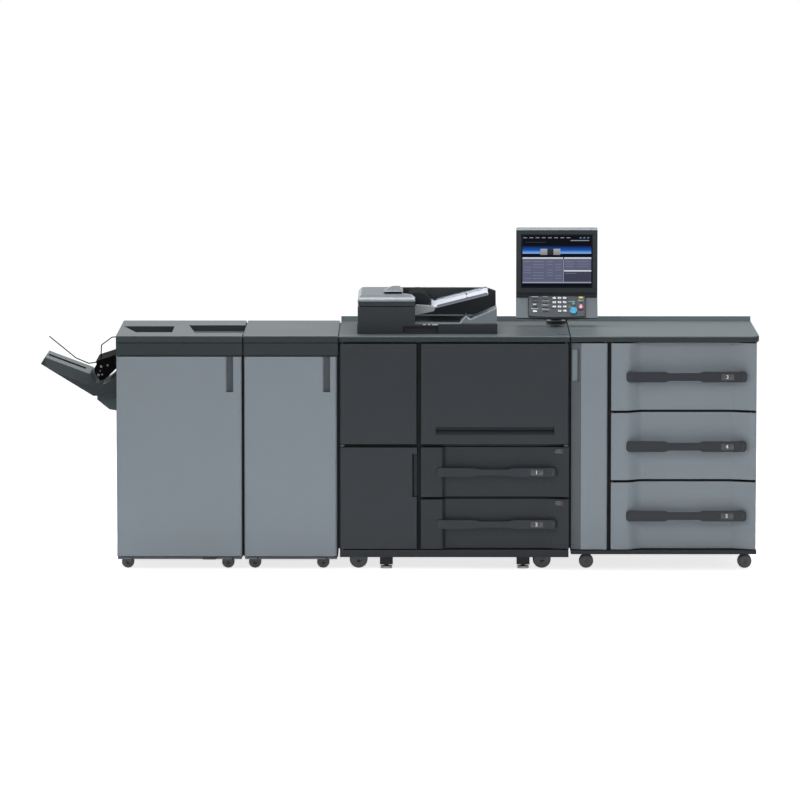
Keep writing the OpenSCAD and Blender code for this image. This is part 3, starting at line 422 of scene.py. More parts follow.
class Builder:
    """Gathers the solids of one piece and makes its object."""

    def __init__(self):
        self.bm = bmesh.new()
        self.tint = self.bm.loops.layers.float_color.new("tint")

    def solid(self, place, rings, tint=UNPAINTED):
        """Closed solid through rings of points with the same count."""
        rows = [[self.bm.verts.new(place @ Vector(p)) for p in ring] for ring in rings]
        faces = [self.bm.faces.new(rows[0][::-1]), self.bm.faces.new(rows[-1])]
        for low, high in zip(rows, rows[1:]):
            for i, corner in enumerate(low):
                j = (i + 1) % len(low)
                faces.append(self.bm.faces.new((corner, low[j], high[j], high[i])))
        for face in faces:
            for loop in face.loops:
                loop[self.tint] = (*tint[:3], 1.0)

    def slab(self, place, width, height, thick, radius, chamfer=0.0004, tint=UNPAINTED):
        """Rounded plate with a small chamfer round its face."""
        self.solid(
            place,
            [
                lift(round_rect(width, height, radius), 0.0),
                lift(round_rect(width, height, radius), thick - chamfer),
                lift(
                    round_rect(width - 2 * chamfer, height - 2 * chamfer, radius - chamfer), thick
                ),
            ],
            tint,
        )

    def key(self, place, width, height, thick, radius, tint):
        """Key with a crowned top."""
        self.solid(
            place,
            [
                lift(round_rect(width, height, radius), 0.0),
                lift(round_rect(width, height, radius), thick * 0.55),
                lift(round_rect(width * 0.93, height * 0.93, radius * 0.93), thick * 0.85),
                lift(round_rect(width * 0.72, height * 0.72, radius * 0.72), thick),
            ],
            tint,
        )

    def turned(self, place, profile, count, tint):
        """Solid of revolution about Z through (radius, z) pairs."""
        self.solid(place, [lift(circle(r, count), z) for r, z in profile], tint)

    def screw(self, place, radius, rise, tint):
        """Low head with a six-sided socket."""
        rings = [
            lift(circle(radius), 0.0),
            lift(circle(radius), rise * 0.4),
            lift(circle(radius * 0.86), rise * 0.85),
            lift(circle(radius * 0.58), rise),
        ]
        socket = []
        half_side = math.pi / 6
        for i in range(ROUND):
            a = 2 * math.pi * i / ROUND
            corner = math.cos((a % (2 * half_side)) - half_side)
            reach = radius * 0.42 * math.cos(half_side) / corner
            socket.append((reach * math.cos(a), reach * math.sin(a)))
        rings.append(lift(socket, rise * 0.95))
        rings.append(lift(socket, rise * 0.2))
        self.solid(place, rings, tint)

    def digits(self, place, text, height, tint):
        """Raised figures centred on the frame."""
        curve = bpy.data.curves.new("figure", "FONT")
        curve.body = text
        curve.size = height / FIGURE_SHARE
        curve.align_x = "CENTER"
        curve.align_y = "CENTER"
        curve.extrude = FIGURE_RISE
        curve.offset = height * 0.02
        curve.resolution_u = 3
        figure = bpy.data.objects.new("figure", curve)
        bpy.context.scene.collection.objects.link(figure)
        graph = bpy.context.evaluated_depsgraph_get()
        mesh = bpy.data.meshes.new_from_object(figure.evaluated_get(graph))
        mesh.transform(place)
        before = len(self.bm.faces)
        self.bm.from_mesh(mesh)
        self.bm.faces.ensure_lookup_table()
        for face in self.bm.faces[before:]:
            for loop in face.loops:
                loop[self.tint] = (*tint[:3], 1.0)
        bpy.data.objects.remove(figure)
        bpy.data.meshes.remove(mesh)

    def thing(self, name, finish):
        """Makes the object and gives it its finish."""
        for edge in self.bm.edges:
            edge.smooth = edge.calc_face_angle(0.0) < SHARP
        for face in self.bm.faces:
            face.smooth = True
        mesh = bpy.data.meshes.new(name)
        self.bm.to_mesh(mesh)
        self.bm.free()
        mesh.materials.append(finish.material)
        made = bpy.data.objects.new(name, mesh)
        bpy.context.scene.collection.objects.link(made)
        return made

    def finish(self, name, body, slot, finish):
        """Makes the object and rides it on its body; the slot is not used."""
        made = self.thing(name, finish)
        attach(made, body)


def main_face(node, towards):
    """Corners of the box round the widest flat face that looks one way, and its direction."""
    found = {}
    mesh = frame["nodes"][node].data
    for face in mesh.polygons:
        if face.normal.dot(towards) > 0.8:
            key = tuple(round(c, 2) for c in face.normal)
            entry = found.setdefault(key, [0.0, Vector(), []])
            entry[0] += face.area
            entry[1] += face.normal * face.area
            entry[2] += [mesh.vertices[i].co for i in face.vertices]
    if not found:
        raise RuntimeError(f"{node} has no flat face towards {tuple(towards)}")
    _, normal, points = max(found.values(), key=lambda entry: entry[0])
    low = Vector(min(p[i] for p in points) for i in range(3))
    high = Vector(max(p[i] for p in points) for i in range(3))
    return low, high, normal.normalized()


# ---- Finishes of the cabinet itself ----

# height of the strip along the top covers of the finisher and the relay unit that painted light
# makes paler
STRIP_H = 0.027
# depth, from the worktop's upper face, of the part that painted light makes paler on the nose
NOSE_H = 0.019
# height of the dark band at the foot of the document feeder's cover, under the part that painted
# light makes paler
BAND_H = 0.020


def slot_finishes(look):
    """Finishes of the record's material slots, by the name of the slot."""
    wire = paint(look, "wire", shade(look.black, 0.15), 0.5, Specular_IOR_Level=0.05)
    dark = paint(look, "plastic_dark", look.moulding, 0.45)
    return {
        "door_grey": paint(look, "door_grey", look.door, 0.46, 0.00003, 0.035),
        "panel_dark": paint(look, "panel_dark", look.engine, 0.42, 0.00005, 0.07),
        "frame_dark": paint(look, "frame_dark", shade(look.engine, 0.55), 0.6),
        "skirt_black": paint(look, "skirt_black", shade(look.black, 0.8), 0.55),
        "kick_pale": paint(look, "kick_pale", look.pale, 0.42, 0.00003, 0.04),
        "worktop": worktop_finish("feed_top", look, 1.5),
        "plastic_black": paint(look, "plastic_black", look.black, 0.4),
        "wire": wire,
        # painted light: the dark plastic is paler on its slopes and tops
        "plastic_dark": crowned(dark, 5.0, 2.0),
        "plastic_pale": paint(look, "plastic_pale", linear(128, 134, 138), 0.4),
        "tray_pale": paint(look, "tray_pale", look.guide, 0.4, mottle=0.03),
        "keypad": keypad_finish(look),
        "screen": Finish("screen").surface(
            Base_Color=linear(12, 14, 20), Roughness=0.12, Specular_IOR_Level=0.12
        ),
        "glass": Finish("glass").surface(
            Base_Color=linear(18, 24, 26), Roughness=0.04, Coat_Weight=0.8
        ),
        "zinc": brushed("zinc", linear(168, 170, 172), 0.34, (40.0, 40.0, 900.0)),
        "steel_sheet": brushed("steel_sheet", linear(176, 178, 180), 0.42, (300.0, 12.0, 12.0)),
        "caster_dark": paint(look, "caster_dark", shade(look.black, 0.7), 0.5),
        "caster_rubber": moulded("caster_rubber", linear(52, 53, 55), 0.5, 0.002, 0.0001),
        "foot_black": foot_finish(look),
    }


def piece_finishes(look):
    """Finishes of pieces that are darker or paler than the rest of their slot, by node."""
    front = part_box("finisher_door")[0].y
    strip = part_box("finisher_top")[1].z - STRIP_H
    cover = paint(look, "cover_dark", look.cover, 0.42, 0.00003)
    relay = paint(look, "relay_cover", look.cover, 0.42, 0.00003)
    tray = paint(look, "tray_dark", look.cover, 0.45)
    # painted light: paler on the tray's tops and on its faces that look well up; the tip is darker
    crowned(tray, 1.8, 1.5, 0.7, 0.9)
    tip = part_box("output_tray")[0].x + 0.020
    retone(tray, tray.axes(tray.place())[0] < tip, 0.45)
    drum = paint(look, "drum_black", shade(look.black, 0.1), 0.7, Specular_IOR_Level=0.02)
    # painted shade: the drum is a tenth as bright on every face but those that look to the front
    retone(drum, facing(drum)[1] < -0.6, 10.0)
    # copies of the door paints with painted shade in their grips
    tall = paint(look, "tall_door", look.door, 0.46, 0.00003, 0.035)
    recessed(tall, front, 0.12, 0.5)
    engine = paint(look, "engine_door", look.engine, 0.42, 0.00005, 0.07)
    recessed(engine, front, 0.2, 0.6)
    drawer = paint(look, "drawer_dark", shade(look.engine, 0.84), 0.45, 0.00005, 0.06)
    return {
        # painted light: the strip along the top of these covers is paler
        "finisher_top": above(cover, strip, 1.3),
        "relay_top": above(relay, strip, 1.05),
        "tray_carriage": paint(look, "carriage_grey", shade(look.cover, 2.3), 0.42, 0.00003),
        "output_tray": tray,
        "exit_unit": paint(
            look, "deep_black", shade(look.black, 0.05), 0.8, Specular_IOR_Level=0.05
        ),
        "roller_cover": drum,
        "tray_arms": paint(look, "arm_grey", linear(168, 173, 177), 0.45),
        "panel_housing": panel_finish(look),
        "finisher_door": tall,
        "relay_door": tall,
        "upper_left_door": engine,
        "lower_left_door": engine,
        "right_door": engine,
        "feed_door": narrow_door_finish(look, front),
        "drawer_1_front": drawer,
        "drawer_2_front": drawer,
        "door_hinges": brushed("hinge_dark", linear(78, 80, 84), 0.4, (60.0, 60.0, 600.0)),
        # painted shade: the front fence is darker than the rest of the tray
        "guide_front": paint(look, "fence_in_shade", shade(look.guide, 0.7), 0.4, mottle=0.03),
        "main_worktop": worktop_finish("main_top", look, 1.0),
        "feeder_cover": feeder_cover_finish(look),
    }


def worktop_finish(name, look, top):
    """Fine-grained laminate with painted light: paler on its top and its upstand than on its dark
    front edge.
    """
    f = paint(look, name, look.cover, 0.5, 0.00003)
    above(f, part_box("feed_worktop")[1].z - NOSE_H, 2.6)
    return crowned(f, 1.5, top)


def narrow_door_finish(look, front):
    """Door grey with a grip; painted shade darkens the grip and the bevel along the hinge edge."""
    f = paint(look, "narrow_door", look.door, 0.46, 0.00003, 0.035)
    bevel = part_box("feed_door")[0].x + 0.043
    retone(f, (f.axes(f.place())[0] < bevel) * (facing(f)[0] < -0.04), 0.42)
    return recessed(f, front + 0.004, 0.75, 0.1)


def feeder_cover_finish(look):
    """Dark plastic whose rounded front lip and top are made paler than the band under them by
    painted light.
    """
    f = paint(look, "feeder_cover", look.moulding, 0.45)
    above(f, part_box("feeder_cover")[0].z + BAND_H, 5.7)
    return retone(f, ranged(f, facing(f)[2], TOP_START, TOP_FULL), 0.30)


def panel_finish(look):
    """Dark surround of the display, a console made paler by painted light, and a painted shadow
    along its foot.
    """
    f = paint(look, "panel_shell", shade(look.moulding, 1.4), 0.5, Specular_IOR_Level=0.06)
    crowned(f, 3.1, 0.5)
    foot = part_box("panel_housing")[0].z + 0.005
    return retone(f, f.axes(f.place())[2] < foot, 0.3)


def keypad_finish(look):
    """Grey key field with painted shade: a dark line down each side and black edges."""
    f = paint(look, "keypad", linear(72, 76, 80), 0.45)
    low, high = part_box("panel_keypad")
    line = 0.0035
    x = f.axes(f.place())[0]
    retone(f, (x < low.x + line) + (x > high.x - line), 0.2)
    return retone(f, facing(f)[1] > -0.5, 0.12)


def foot_finish(look):
    """Black foot on a pale pad."""
    f = paint(look, "foot_black", look.black, 0.5)
    pad_h = 0.0095
    over_pad = f.axes(f.place())[2] > pad_h
    return f.surface(Base_Color=f.mix(over_pad, linear(214, 218, 217), base_colour(f)))


def cover_node(name, finish):
    """Puts one finish on a whole node of the frame."""
    for holder in frame["nodes"][name].material_slots:
        holder.material = finish.material


class PRINTER_OT_finishes(bpy.types.Operator):
    """Gives every solid of the frame its finish"""

    bl_idname = "printer.finishes"
    bl_label = "Cabinet Finishes"

    def execute(self, context):
        look = context.scene.printer_finish
        finishes = slot_finishes(look)
        for part in frame["record"]["subparts"]:
            cover_node(part["node"], finishes[part["material_slot"]])
        for name, finish in piece_finishes(look).items():
            cover_node(name, finish)
        return {"FINISHED"}


# ---- Drawer markings ----


class PRINTER_OT_drawer_marks(bpy.types.Operator):
    """Adds the number plates to the drawer handles"""

    bl_idname = "printer.drawer_marks"
    bl_label = "Drawer Number Plates"

    def execute(self, context):
        marks = context.scene.printer_marks
        look = context.scene.printer_finish
        finish = tinted("handle_print", 0.42)
        film = 0.0003
        bevel = 0.0001
        for n in range(1, 6):
            low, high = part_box(f"drawer_{n}_handle")
            z = (low.z + high.z) / 2
            b = Builder()
            # a film on the handle carries the figure and a small square frame
            plate = at(high.x - 0.082, low.y, z)
            b.slab(plate, 0.054, 0.026, film, 0.003, bevel, shade(look.black, 1.3))
            figure = at(high.x - 0.084, low.y - film - bevel, z)
            b.digits(figure, str(n), marks.digit, marks.white)
            square = at(high.x - 0.062, low.y - film, z)
            b.slab(square, 0.010, 0.010, 0.0002, 0.0015, bevel, shade(marks.white, 0.16))
            b.slab(square, 0.007, 0.007, 0.0003, 0.001, bevel, shade(look.black, 1.2))
            # dark groove near the end of the handle
            end = at(high.x - 0.014, low.y, z)
            b.slab(end, 0.004, 0.024, film, 0.0018, bevel, shade(look.black, 0.6))
            b.finish(f"number_plate_{n}", f"drawer_{n}", "plastic_black", finish)
        return {"FINISHED"}


class PRINTER_OT_drawer_tabs(bpy.types.Operator):
    """Adds the small paper size windows at the corners of the upper drawers"""

    bl_idname = "printer.drawer_tabs"
    bl_label = "Drawer Tabs"

    def execute(self, context):
        look = context.scene.printer_finish
        finish = tinted("tab_print", 0.3)
        # run and fall of the bevel at the right end of the fronts
        run, fall = 0.106, 0.026
        turn = Matrix.Rotation(-math.atan2(fall, run), 4, "Z") @ FRONT
        for n in (1, 2):
            low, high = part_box(f"drawer_{n}_front")
            x = high.x - 0.041
            y = low.y + fall * (high.x - x) / run
            b = Builder()
            window = at(x, y, high.z - 0.0165, turn)
            b.slab(window, 0.036, 0.018, 0.003, 0.002, 0.0008, shade(look.black, 1.3))
            # painted shadow: a dark strip under the window
            under = at(x, y, high.z - 0.0270, turn)
            b.slab(under, 0.034, 0.003, 0.0015, 0.001, 0.0004, shade(look.black, 0.35))
            b.finish(f"size_window_{n}", f"drawer_{n}", "plastic_black", finish)
        return {"FINISHED"}


# ---- Kick strips, covers and casters ----


class PRINTER_OT_kick_fittings(bpy.types.Operator):
    """Adds the screws of the kick strips, and painted shade in their latch slot and in the gap
    behind them
    """

    bl_idname = "printer.kick_fittings"
    bl_label = "Kick Strip Fittings"

    def execute(self, context):
        look = context.scene.printer_finish
        finish = tinted("kick_screws", 0.35)
        slot_shade = (0.006, 0.006, 0.007)
        gap_shade = (0.004, 0.004, 0.004)
        shade_sheet_t = 0.003
        for node, places in (("finisher_kick", (0.062, 0.495)), ("relay_kick", (0.055, 0.352))):
            low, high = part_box(node)
            z = (low.z + high.z) / 2
            b = Builder()
            for x in places:
                b.screw(at(low.x + x, low.y, z), 0.0045, 0.002, shade(look.black, 0.3))
            if node == "finisher_kick":
                # lipped slot of the latch, wider at its top, as a near-black plate of painted
                # shade
                slot = []
                for half, out in ((0.034, 0.0), (0.034, 0.001), (0.033, 0.0015)):
                    foot = half - 0.006
                    edge = [(-foot, -0.0055), (foot, -0.0055), (half, 0.006), (-half, 0.006)]
                    slot.append(lift(edge, out))
                b.solid(at(low.x + 0.395, low.y, z), slot, slot_shade)
            b.finish(f"{node}_screws", "machine", "kick_pale", finish)
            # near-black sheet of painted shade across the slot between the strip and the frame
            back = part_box(node.replace("kick", "frame"))[0].y
            b = Builder()
            wide = high.x - low.x - 0.004
            deep = back - low.y - 0.008
            middle = ((low.x + high.x) / 2, low.y + 0.012 + deep / 2, high.z - shade_sheet_t)
            b.slab(at(*middle, Matrix()), wide, deep, shade_sheet_t, 0.001, tint=gap_shade)
            b.finish(f"{node}_shade_sheet", "machine", "skirt_black", tinted(f"{node}_foam", 0.9))
        return {"FINISHED"}


class PRINTER_OT_caster_hubs(bpy.types.Operator):
    """Adds the domed hub caps of the casters"""

    bl_idname = "printer.caster_hubs"
    bl_label = "Caster Hubs"

    def execute(self, context):
        finish = tinted("hub_grey", 0.38)
        tone = linear(74, 76, 79)
        # share of the wheel's radius, and height over its side
        dome = (
            (0.93, 0.0),
            (0.96, 0.0030),
            (0.95, 0.0055),
            (0.84, 0.0072),
            (0.55, 0.0084),
            (0.20, 0.0090),
            (0.19, 0.0082),
        )
        b = Builder()
        for x, y, radius, half in wheels():
            for side in (-1, 1):
                turn = Matrix.Rotation(-side * math.pi / 2, 4, "X")
                hub = at(x, y + side * half, radius, turn)
                b.turned(hub, [(radius * share, out) for share, out in dome], 40, tone)
        b.finish("caster_hubs", "machine", "caster_rubber", finish)
        return {"FINISHED"}


def wheels():
    """Centre, radius and half width of every caster wheel, read from the frame's mesh."""
    mesh = frame["nodes"]["caster_wheels"].data
    links = {}

    def root(i):
        while links.setdefault(i, i) != i:
            i = links[i]
        return i

    keys = {}
    for v in mesh.vertices:
        keys.setdefault(tuple(round(c, 5) for c in v.co), v.index)
    first = [keys[tuple(round(c, 5) for c in v.co)] for v in mesh.vertices]
    for face in mesh.polygons:
        ids = [first[i] for i in face.vertices]
        for i in ids[1:]:
            links[root(i)] = root(ids[0])
    groups = {}
    for v in mesh.vertices:
        groups.setdefault(root(first[v.index]), []).append(v.co)
    found = []
    for points in groups.values():
        low = Vector(min(p[i] for p in points) for i in range(3))
        high = Vector(max(p[i] for p in points) for i in range(3))
        middle = (low + high) / 2
        radius = (high.z - low.z) / 2
        rim = [p.y for p in points if (p - middle).length > radius * 0.8]
        found.append((middle.x, middle.y, radius, (max(rim) - min(rim)) / 2))
    return found


class PRINTER_OT_feeder_marks(bpy.types.Operator):
    """Adds the white strips on the document feeder's lid and the printed marks of its tray"""

    bl_idname = "printer.feeder_marks"
    bl_label = "Document Feeder Marks"

    def execute(self, context):
        marks = context.scene.printer_marks
        finish = tinted("feeder_print", 0.4)
        thin = 0.0002
        bevel = 0.0001
        b = Builder()
        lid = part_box("feeder_lid")[0]
        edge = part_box("feeder_housing")[0].z - 0.003
        # three white strips along the front top edge of the lid
        for x, width in ((0.290, 0.012), (0.310, 0.010), (0.335, 0.026)):
            b.slab(at(lid.x + x, lid.y, edge), width, 0.0035, thin, 0.001, bevel, marks.white)
        b.finish("lid_marks", "document_feeder", "plastic_dark", finish)
        low, high, normal = main_face("document_tray", Vector((-0.2, 0.0, 1.0)).normalized())
        along = Vector((0.0, 1.0, 0.0)).cross(normal).normalized()
        across = normal.cross(along)
        basis = Matrix((along, across, normal)).transposed().to_4x4()
        ink = linear(52, 56, 64)
        b = Builder()
        for share in (-0.36, -0.20, 0.04, 0.22, 0.36):
            spot = (low + high) / 2 + along * share * (high.x - low.x)
            b.slab(Matrix.Translation(spot) @ basis, 0.0025, 0.026, thin, 0.0005, bevel, ink)
        b.finish("tray_marks", "document_tray", "tray_pale", finish)
        return {"FINISHED"}


class PRINTER_OT_exit_rollers(bpy.types.Operator):
    """Adds the roller ends and screws on the side of the paper exit, pale partly as a painted
    highlight
    """

    bl_idname = "printer.exit_rollers"
    bl_label = "Exit Rollers"

    def execute(self, context):
        low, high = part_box("exit_unit")
        b = Builder()
        # from the left side, down from the top, and radius
        for x, down, radius in (
            (0.030, 0.055, 0.0055),
            (0.058, 0.050, 0.0045),
            (0.018, 0.092, 0.0060),
            (0.034, 0.090, 0.0040),
            (0.026, 0.074, 0.0030),
        ):
            # roller ends and screws, their pale tone partly a painted highlight on the black exit
            place = at(low.x + x, low.y, high.z - down)
            b.screw(place, radius, 0.0015, linear(120, 124, 128))
        b.finish("exit_rollers", "machine", "plastic_black", tinted("roller_ends", 0.35))
        return {"FINISHED"}


class PRINTER_OT_cover_screws(bpy.types.Operator):
    """Adds the screws of the rear covers"""

    bl_idname = "printer.cover_screws"
    bl_label = "Cover Screws"

    def execute(self, context):
        marks = context.scene.printer_marks
        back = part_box("rear_covers")[1].y
        inset = 0.024
        b = Builder()
        turn = Matrix.Rotation(-math.pi / 2, 4, "X")
        for body in ("finisher_frame", "relay_frame", "main_frame", "feed_frame"):
            left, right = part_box(body)
            top = 0.94 if body in ("main_frame", "feed_frame") else 0.88
            for x in (left.x + inset, (left.x + right.x) / 2, right.x - inset):
                for z in (0.125, 0.52, top):
                    b.screw(at(x, back, z, turn), marks.screw, 0.0006, linear(150, 152, 154))
        b.finish("rear_screws", "machine", "zinc", tinted("screw_zinc", 0.3, Metallic=0.9))
        return {"FINISHED"}


# ---- Control panel ----


class PRINTER_OT_display(bpy.types.Operator):
    """Lays the menu picture on the display"""

    bl_idname = "printer.display"
    bl_label = "Display Picture"

    def execute(self, context):
        low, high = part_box("panel_screen")
        margin = 0.006
        layer_t = 0.00004
        width = high.x - low.x - 2 * margin
        height = high.z - low.z - 2 * margin
        face = low.y - 0.0003
        b = Builder()

        def tile(u, v, w, h, tint, layer=1, low_tint=None):
            """Rectangle at shares of the display, v up from its foot; tints may run downward."""
            x = low.x + margin + (u + w / 2) * width
            z = low.z + margin + (v + h / 2) * height
            spot = at(x, face - layer_t * layer, z)
            half_w = w * width / 2
            half_h = h * height / 2
            corners = [(-half_w, -half_h), (half_w, -half_h), (half_w, half_h), (-half_w, half_h)]
            verts = [b.bm.verts.new(spot @ Vector((cx, cy, 0.0))) for cx, cy in corners]
            loops = b.bm.faces.new(verts).loops
            foot = low_tint or tint
            for loop, colour in zip(loops, (foot, foot, tint, tint)):
                loop[b.tint] = (*colour[:3], 1.0)

        ink = linear(8, 11, 20)
        white = linear(206, 210, 222)
        violet = linear(98, 102, 126)
        slate = linear(66, 68, 86)
        lilac = linear(150, 154, 176)
        entry = linear(126, 130, 156)
        azure = linear(28, 84, 176)
        tile(0, 0, 1, 1, ink, 0)
        # menu row and status line
        for i in range(8):
            tile(0.01 + i * 0.09, 0.955, 0.055, 0.014, lilac)
        for i in range(3):
            tile(0.83 + i * 0.055, 0.952, 0.030, 0.020, linear(110, 138, 184))
        tile(0.70, 0.900, 0.27, 0.016, linear(150, 154, 160))
        tile(0.04, 0.870, 0.30, 0.008, linear(60, 70, 74))
        # band with the job blocks
        tile(0, 0.715, 1, 0.090, linear(8, 13, 30), 1, azure)
        tile(0, 0.650, 1, 0.065, azure, 1, linear(132, 186, 238))
        for u, w, level in ((0.26, 0.10, 168), (0.36, 0.09, 52), (0.45, 0.10, 168)):
            grey = linear(level, level, level + 8)
            tile(u, 0.625, w, 0.120, grey, 2, shade(grey, 0.6))
        tile(0, 0.578, 1, 0.045, ink, 1)
        # lists: one wide on the left, two stacked on the right
        for u, v, w, h, tint in (
            (0.0, 0.085, 0.59, 0.475, violet),
            (0.605, 0.335, 0.395, 0.225, violet),
            (0.605, 0.085, 0.395, 0.225, slate),
        ):
            tile(u, v, w, h, tint, 1, shade(tint, 0.9))
            tile(u, v + h - 0.012, w, 0.030, white, 2)
        tile(0.593, 0.085, 0.009, 0.46, lilac, 2)
        for r in range(7):
            for u, w in ((0.02, 0.10), (0.15, 0.16), (0.36, 0.08), (0.48, 0.08)):
                # some entries of the list are blank
                if (r * 3 + int(u * 50)) % 4:
                    tile(u, 0.49 - r * 0.055, w, 0.010, entry, 3)
        for r in range(3):
            tile(0.625, 0.49 - r * 0.05, 0.12, 0.010, entry, 3)
            tile(0.80, 0.49 - r * 0.05, 0.16, 0.010, linear(118, 122, 148), 3)
        tile(0.625, 0.26, 0.16, 0.010, linear(120, 122, 140), 3)
        tile(0, 0.070, 1, 0.026, lilac, 2)
        glow = tinted("display_glow", 0.2, 1.0, Specular_IOR_Level=0.0)
        b.finish("display_picture", "panel", "screen", glow)
        return {"FINISHED"}


class PRINTER_OT_keys(bpy.types.Operator):
    """Sets the keys on the sloping keypad"""

    bl_idname = "printer.keys"
    bl_label = "Keypad Keys"

    def execute(self, context):
        marks = context.scene.printer_marks
        low, high, normal = main_face("panel_keypad", Vector((0.0, -0.85, 0.5)).normalized())
        across = Vector((1.0, 0.0, 0.0))
        up = normal.cross(across).normalized()
        top = Vector(((low.x + high.x) / 2, low.y if up.y < 0 else high.y, high.z))
        basis = Matrix((across, up, normal)).transposed().to_4x4()

        def spot(u, v):
            """Frame on the keypad, u right of its middle and v down from its upper edge."""
            return Matrix.Translation(top + across * u - up * v) @ basis

        white = linear(222, 224, 227)
        grey = linear(156, 160, 166)
        dark = linear(42, 44, 48)
        # columns and rows of the digit keys
        pitch_u, pitch_v = 0.0225, 0.0209
        key_rise = 0.0030
        b = Builder()

        def label(u, v, width):
            """Printed line over or under a key."""
            b.slab(spot(u, v), width, 0.0030, 0.0004, 0.001, 0.0001, grey)

        # figures one to nine, then zero and hash
        for i, figure in enumerate("1234567890#"):
            column = i % 3 if i < 9 else i - 8
            row = min(i // 3, 3)
            place = spot(-0.011 + column * pitch_u, 0.0095 + row * pitch_v)
            b.key(place, marks.key, 0.0095, key_rise, 0.0032, white)
            face = place @ Matrix.Translation((0.0, 0.0, key_rise + 0.0001))
            b.digits(face, figure, 0.0050, dark)
        # left keys with their labels
        label(-0.0965, 0.0025, 0.030)
        label(-0.0965, 0.0609, 0.032)
        for v, width in ((0.0100, 0.028), (0.0260, 0.028), (0.0500, 0.024)):
            b.key(spot(-0.0965, v), width, 0.0065, 0.0022, 0.003, dark)
        b.key(spot(-0.0965, 0.0400), 0.013, 0.0055, 0.0022, 0.002, white)
        b.key(spot(-0.0965, 0.0738), 0.018, 0.0080, 0.0026, 0.003, white)
        label(-0.0500, 0.0025, 0.022)
        for i in range(4):
            b.key(spot(-0.0500, 0.0110 + i * 0.0205), 0.024, 0.0060, 0.0022, 0.003, dark)
            if i < 3:
                label(-0.0500, 0.0224 + i * 0.0201, 0.034)
        # right: job keys, start, stop and wake
        label(0.0655, 0.0256, 0.028)
        label(0.0575, 0.0513, 0.013)
        label(0.1045, 0.0390, 0.012)
        start = [(0.0165, 0.0), (0.0165, 0.0030), (0.0138, 0.0045), (0.0098, 0.0040)]
        b.turned(spot(0.0724, 0.0715), start, 32, linear(54, 148, 178))
        small = [(0.0068, 0.0), (0.0068, 0.0024), (0.0046, 0.0034)]
        b.turned(spot(0.0730, 0.0384), small, 20, linear(58, 134, 150))
        stop = [(0.0125, 0.0), (0.0125, 0.0024), (0.0106, 0.0034)]
        b.turned(spot(0.1045, 0.0539), stop, 28, linear(128, 44, 62))
        symbol = [(0.0072, 0.0), (0.0072, 0.0040), (0.0050, 0.0046)]
        b.turned(spot(0.1045, 0.0539), symbol, 24, linear(232, 190, 200))
        b.key(spot(0.1050, 0.0085), 0.0240, 0.0130, 0.0028, 0.0060, linear(142, 134, 44))
        b.key(spot(0.1050, 0.0085), 0.0140, 0.0060, 0.0040, 0.0028, linear(226, 220, 150))
        label(0.1050, 0.0200, 0.024)
        b.key(spot(0.1050, 0.0290), 0.0150, 0.0060, 0.0022, 0.003, dark)
        b.finish("panel_keys", "panel", "keypad", tinted("key_caps", 0.38))
        return {"FINISHED"}


# ---- Stage ----

WHITE = (1.0, 1.0, 1.0)
BLACK = (0.0, 0.0, 0.0)
FLOOR_SIDE = 90.0
FLOOR_DEPTH = 0.05
# what the floor adds to the light on it until it shows white
FLOOR_GLOW = (0.77, 0.77, 0.77)
# power of the side lamp and of the top lamp against the main one
FILL_SHARE = 0.5
TOP_SHARE = 1.45
# to the right of the joint beside the main engine
CAMERA_ASIDE = 0.339
AIM_ASIDE = 0.2612
AIM_HEIGHT = 0.7395


def light(name, location, target, size, power, colour):
    """Soft box that faces a point."""
    data = bpy.data.lights.new(name, "AREA")
    data.shape = "RECTANGLE"
    data.size, data.size_y = size
    data.energy = power
    data.color = colour
    lamp = bpy.data.objects.new(name, data)
    lamp.location = location
    lamp.rotation_mode = "QUATERNION"
    lamp.rotation_quaternion = (Vector(target) - Vector(location)).to_track_quat("-Z", "Y")
    bpy.context.scene.collection.objects.link(lamp)


def lay_floor():
    """Pale floor that shows white and keeps the shadow."""
    f = Finish("floor")
    seen = f.seen_directly()
    cloud = f.noise(f.place(), 1.5, 2.0)
    pale = f.mix(cloud, (0.80, 0.80, 0.80), (0.82, 0.82, 0.82))
    f.surface(
        Base_Color=f.mix(seen, pale, WHITE),
        Roughness=0.9,
        Specular_IOR_Level=0.0,
        Emission_Color=f.mix(seen, BLACK, FLOOR_GLOW),
        Emission_Strength=1.0,
    )
    b = Builder()
    outline = round_rect(FLOOR_SIDE, FLOOR_SIDE, 1.0)
    b.solid(Matrix.Identity(4), [lift(outline, -FLOOR_DEPTH), lift(outline, 0.0)])
    b.thing("floor", f)


def hang_lamps(stage):
    """Even surround that shows white, two soft boxes in front and one overhead."""
    world = bpy.data.worlds.new("surround")
    bpy.context.scene.world = world
    around = Nodes(world, "Background")
    even = (stage.sky, stage.sky, stage.sky * 1.01)
    around.surface(Color=around.mix(around.seen_directly(), even, WHITE))
    centre = (0.0, 0.0, 0.6)
    box = (5.0, 4.0)
    warm = (1.0, 0.99, 0.98)
    cool = (0.98, 0.99, 1.0)
    fill, top = stage.lamp * FILL_SHARE, stage.lamp * TOP_SHARE
    light("key", (-4.5, -7.5, 5.5), centre, box, stage.lamp, warm)
    light("fill", (5.5, -7.0, 3.5), centre, box, fill, cool)
    light("top", (0.0, 0.25, 4.0), (0.0, 0.1, 1.0), (5.5, 1.2), top, WHITE)


def set_camera(stage):
    """Camera set up on the joint between the main engine and the relay unit."""
    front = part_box("right_door")[0].y
    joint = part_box("main_worktop")[0].x
    data = bpy.data.cameras.new("camera")
    data.sensor_width = 36.0
    data.lens = stage.lens
    data.clip_start, data.clip_end = 1.0, 200.0
    camera = bpy.data.objects.new("camera", data)
    camera.location = (joint + CAMERA_ASIDE, front - stage.distance, stage.height)
    camera.rotation_mode = "QUATERNION"
    aim = Vector((joint + AIM_ASIDE, front, AIM_HEIGHT)) - camera.location
    camera.rotation_quaternion = aim.to_track_quat("-Z", "Y")
    bpy.context.scene.collection.objects.link(camera)
    bpy.context.scene.camera = camera


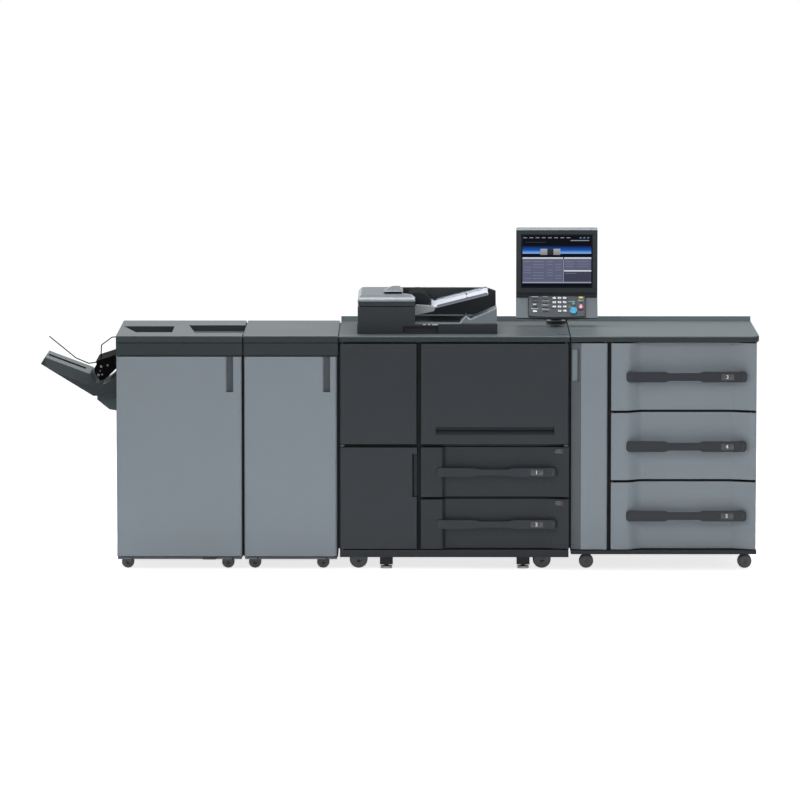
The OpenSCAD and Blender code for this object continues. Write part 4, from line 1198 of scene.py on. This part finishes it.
class PRINTER_OT_stage(bpy.types.Operator):
    """Sets the floor, the soft light and the camera"""

    bl_idname = "printer.stage"
    bl_label = "Studio Stage"

    def execute(self, context):
        stage = context.scene.printer_stage
        lay_floor()
        hang_lamps(stage)
        set_camera(stage)
        context.scene.view_settings.view_transform = "Standard"
        return {"FINISHED"}


# ---- Panel and registration ----

STEPS = (
    PRINTER_OT_finishes,
    PRINTER_OT_drawer_marks,
    PRINTER_OT_drawer_tabs,
    PRINTER_OT_kick_fittings,
    PRINTER_OT_caster_hubs,
    PRINTER_OT_feeder_marks,
    PRINTER_OT_exit_rollers,
    PRINTER_OT_cover_screws,
    PRINTER_OT_display,
    PRINTER_OT_keys,
    PRINTER_OT_stage,
)


class PRINTER_PT_panel(bpy.types.Panel):
    """Lists the steps that dress the printer"""

    bl_idname = "PRINTER_PT_panel"
    bl_label = "Production Printer"
    bl_space_type = "VIEW_3D"
    bl_region_type = "UI"
    bl_category = "Printer"

    def draw(self, context):
        for step in STEPS:
            self.layout.operator(step.bl_idname)
        for group in (
            context.scene.printer_finish,
            context.scene.printer_marks,
            context.scene.printer_stage,
        ):
            for name in group.__annotations__:
                self.layout.prop(group, name)


CLASSES = (PrinterFinish, PrinterMarks, PrinterStage, *STEPS, PRINTER_PT_panel)


def register():
    """Makes the classes and the settings known."""
    for cls in CLASSES:
        bpy.utils.register_class(cls)
    bpy.types.Scene.printer_finish = bpy.props.PointerProperty(type=PrinterFinish)
    bpy.types.Scene.printer_marks = bpy.props.PointerProperty(type=PrinterMarks)
    bpy.types.Scene.printer_stage = bpy.props.PointerProperty(type=PrinterStage)


def unregister():
    """Takes the settings and the classes away again."""
    del bpy.types.Scene.printer_stage
    del bpy.types.Scene.printer_marks
    del bpy.types.Scene.printer_finish
    for cls in reversed(CLASSES):
        bpy.utils.unregister_class(cls)


def main():
    """Dresses the printer step by step."""
    register()
    for step in STEPS:
        group, name = step.bl_idname.split(".")
        getattr(getattr(bpy.ops, group), name)()


if __name__ == "__main__":
    main()
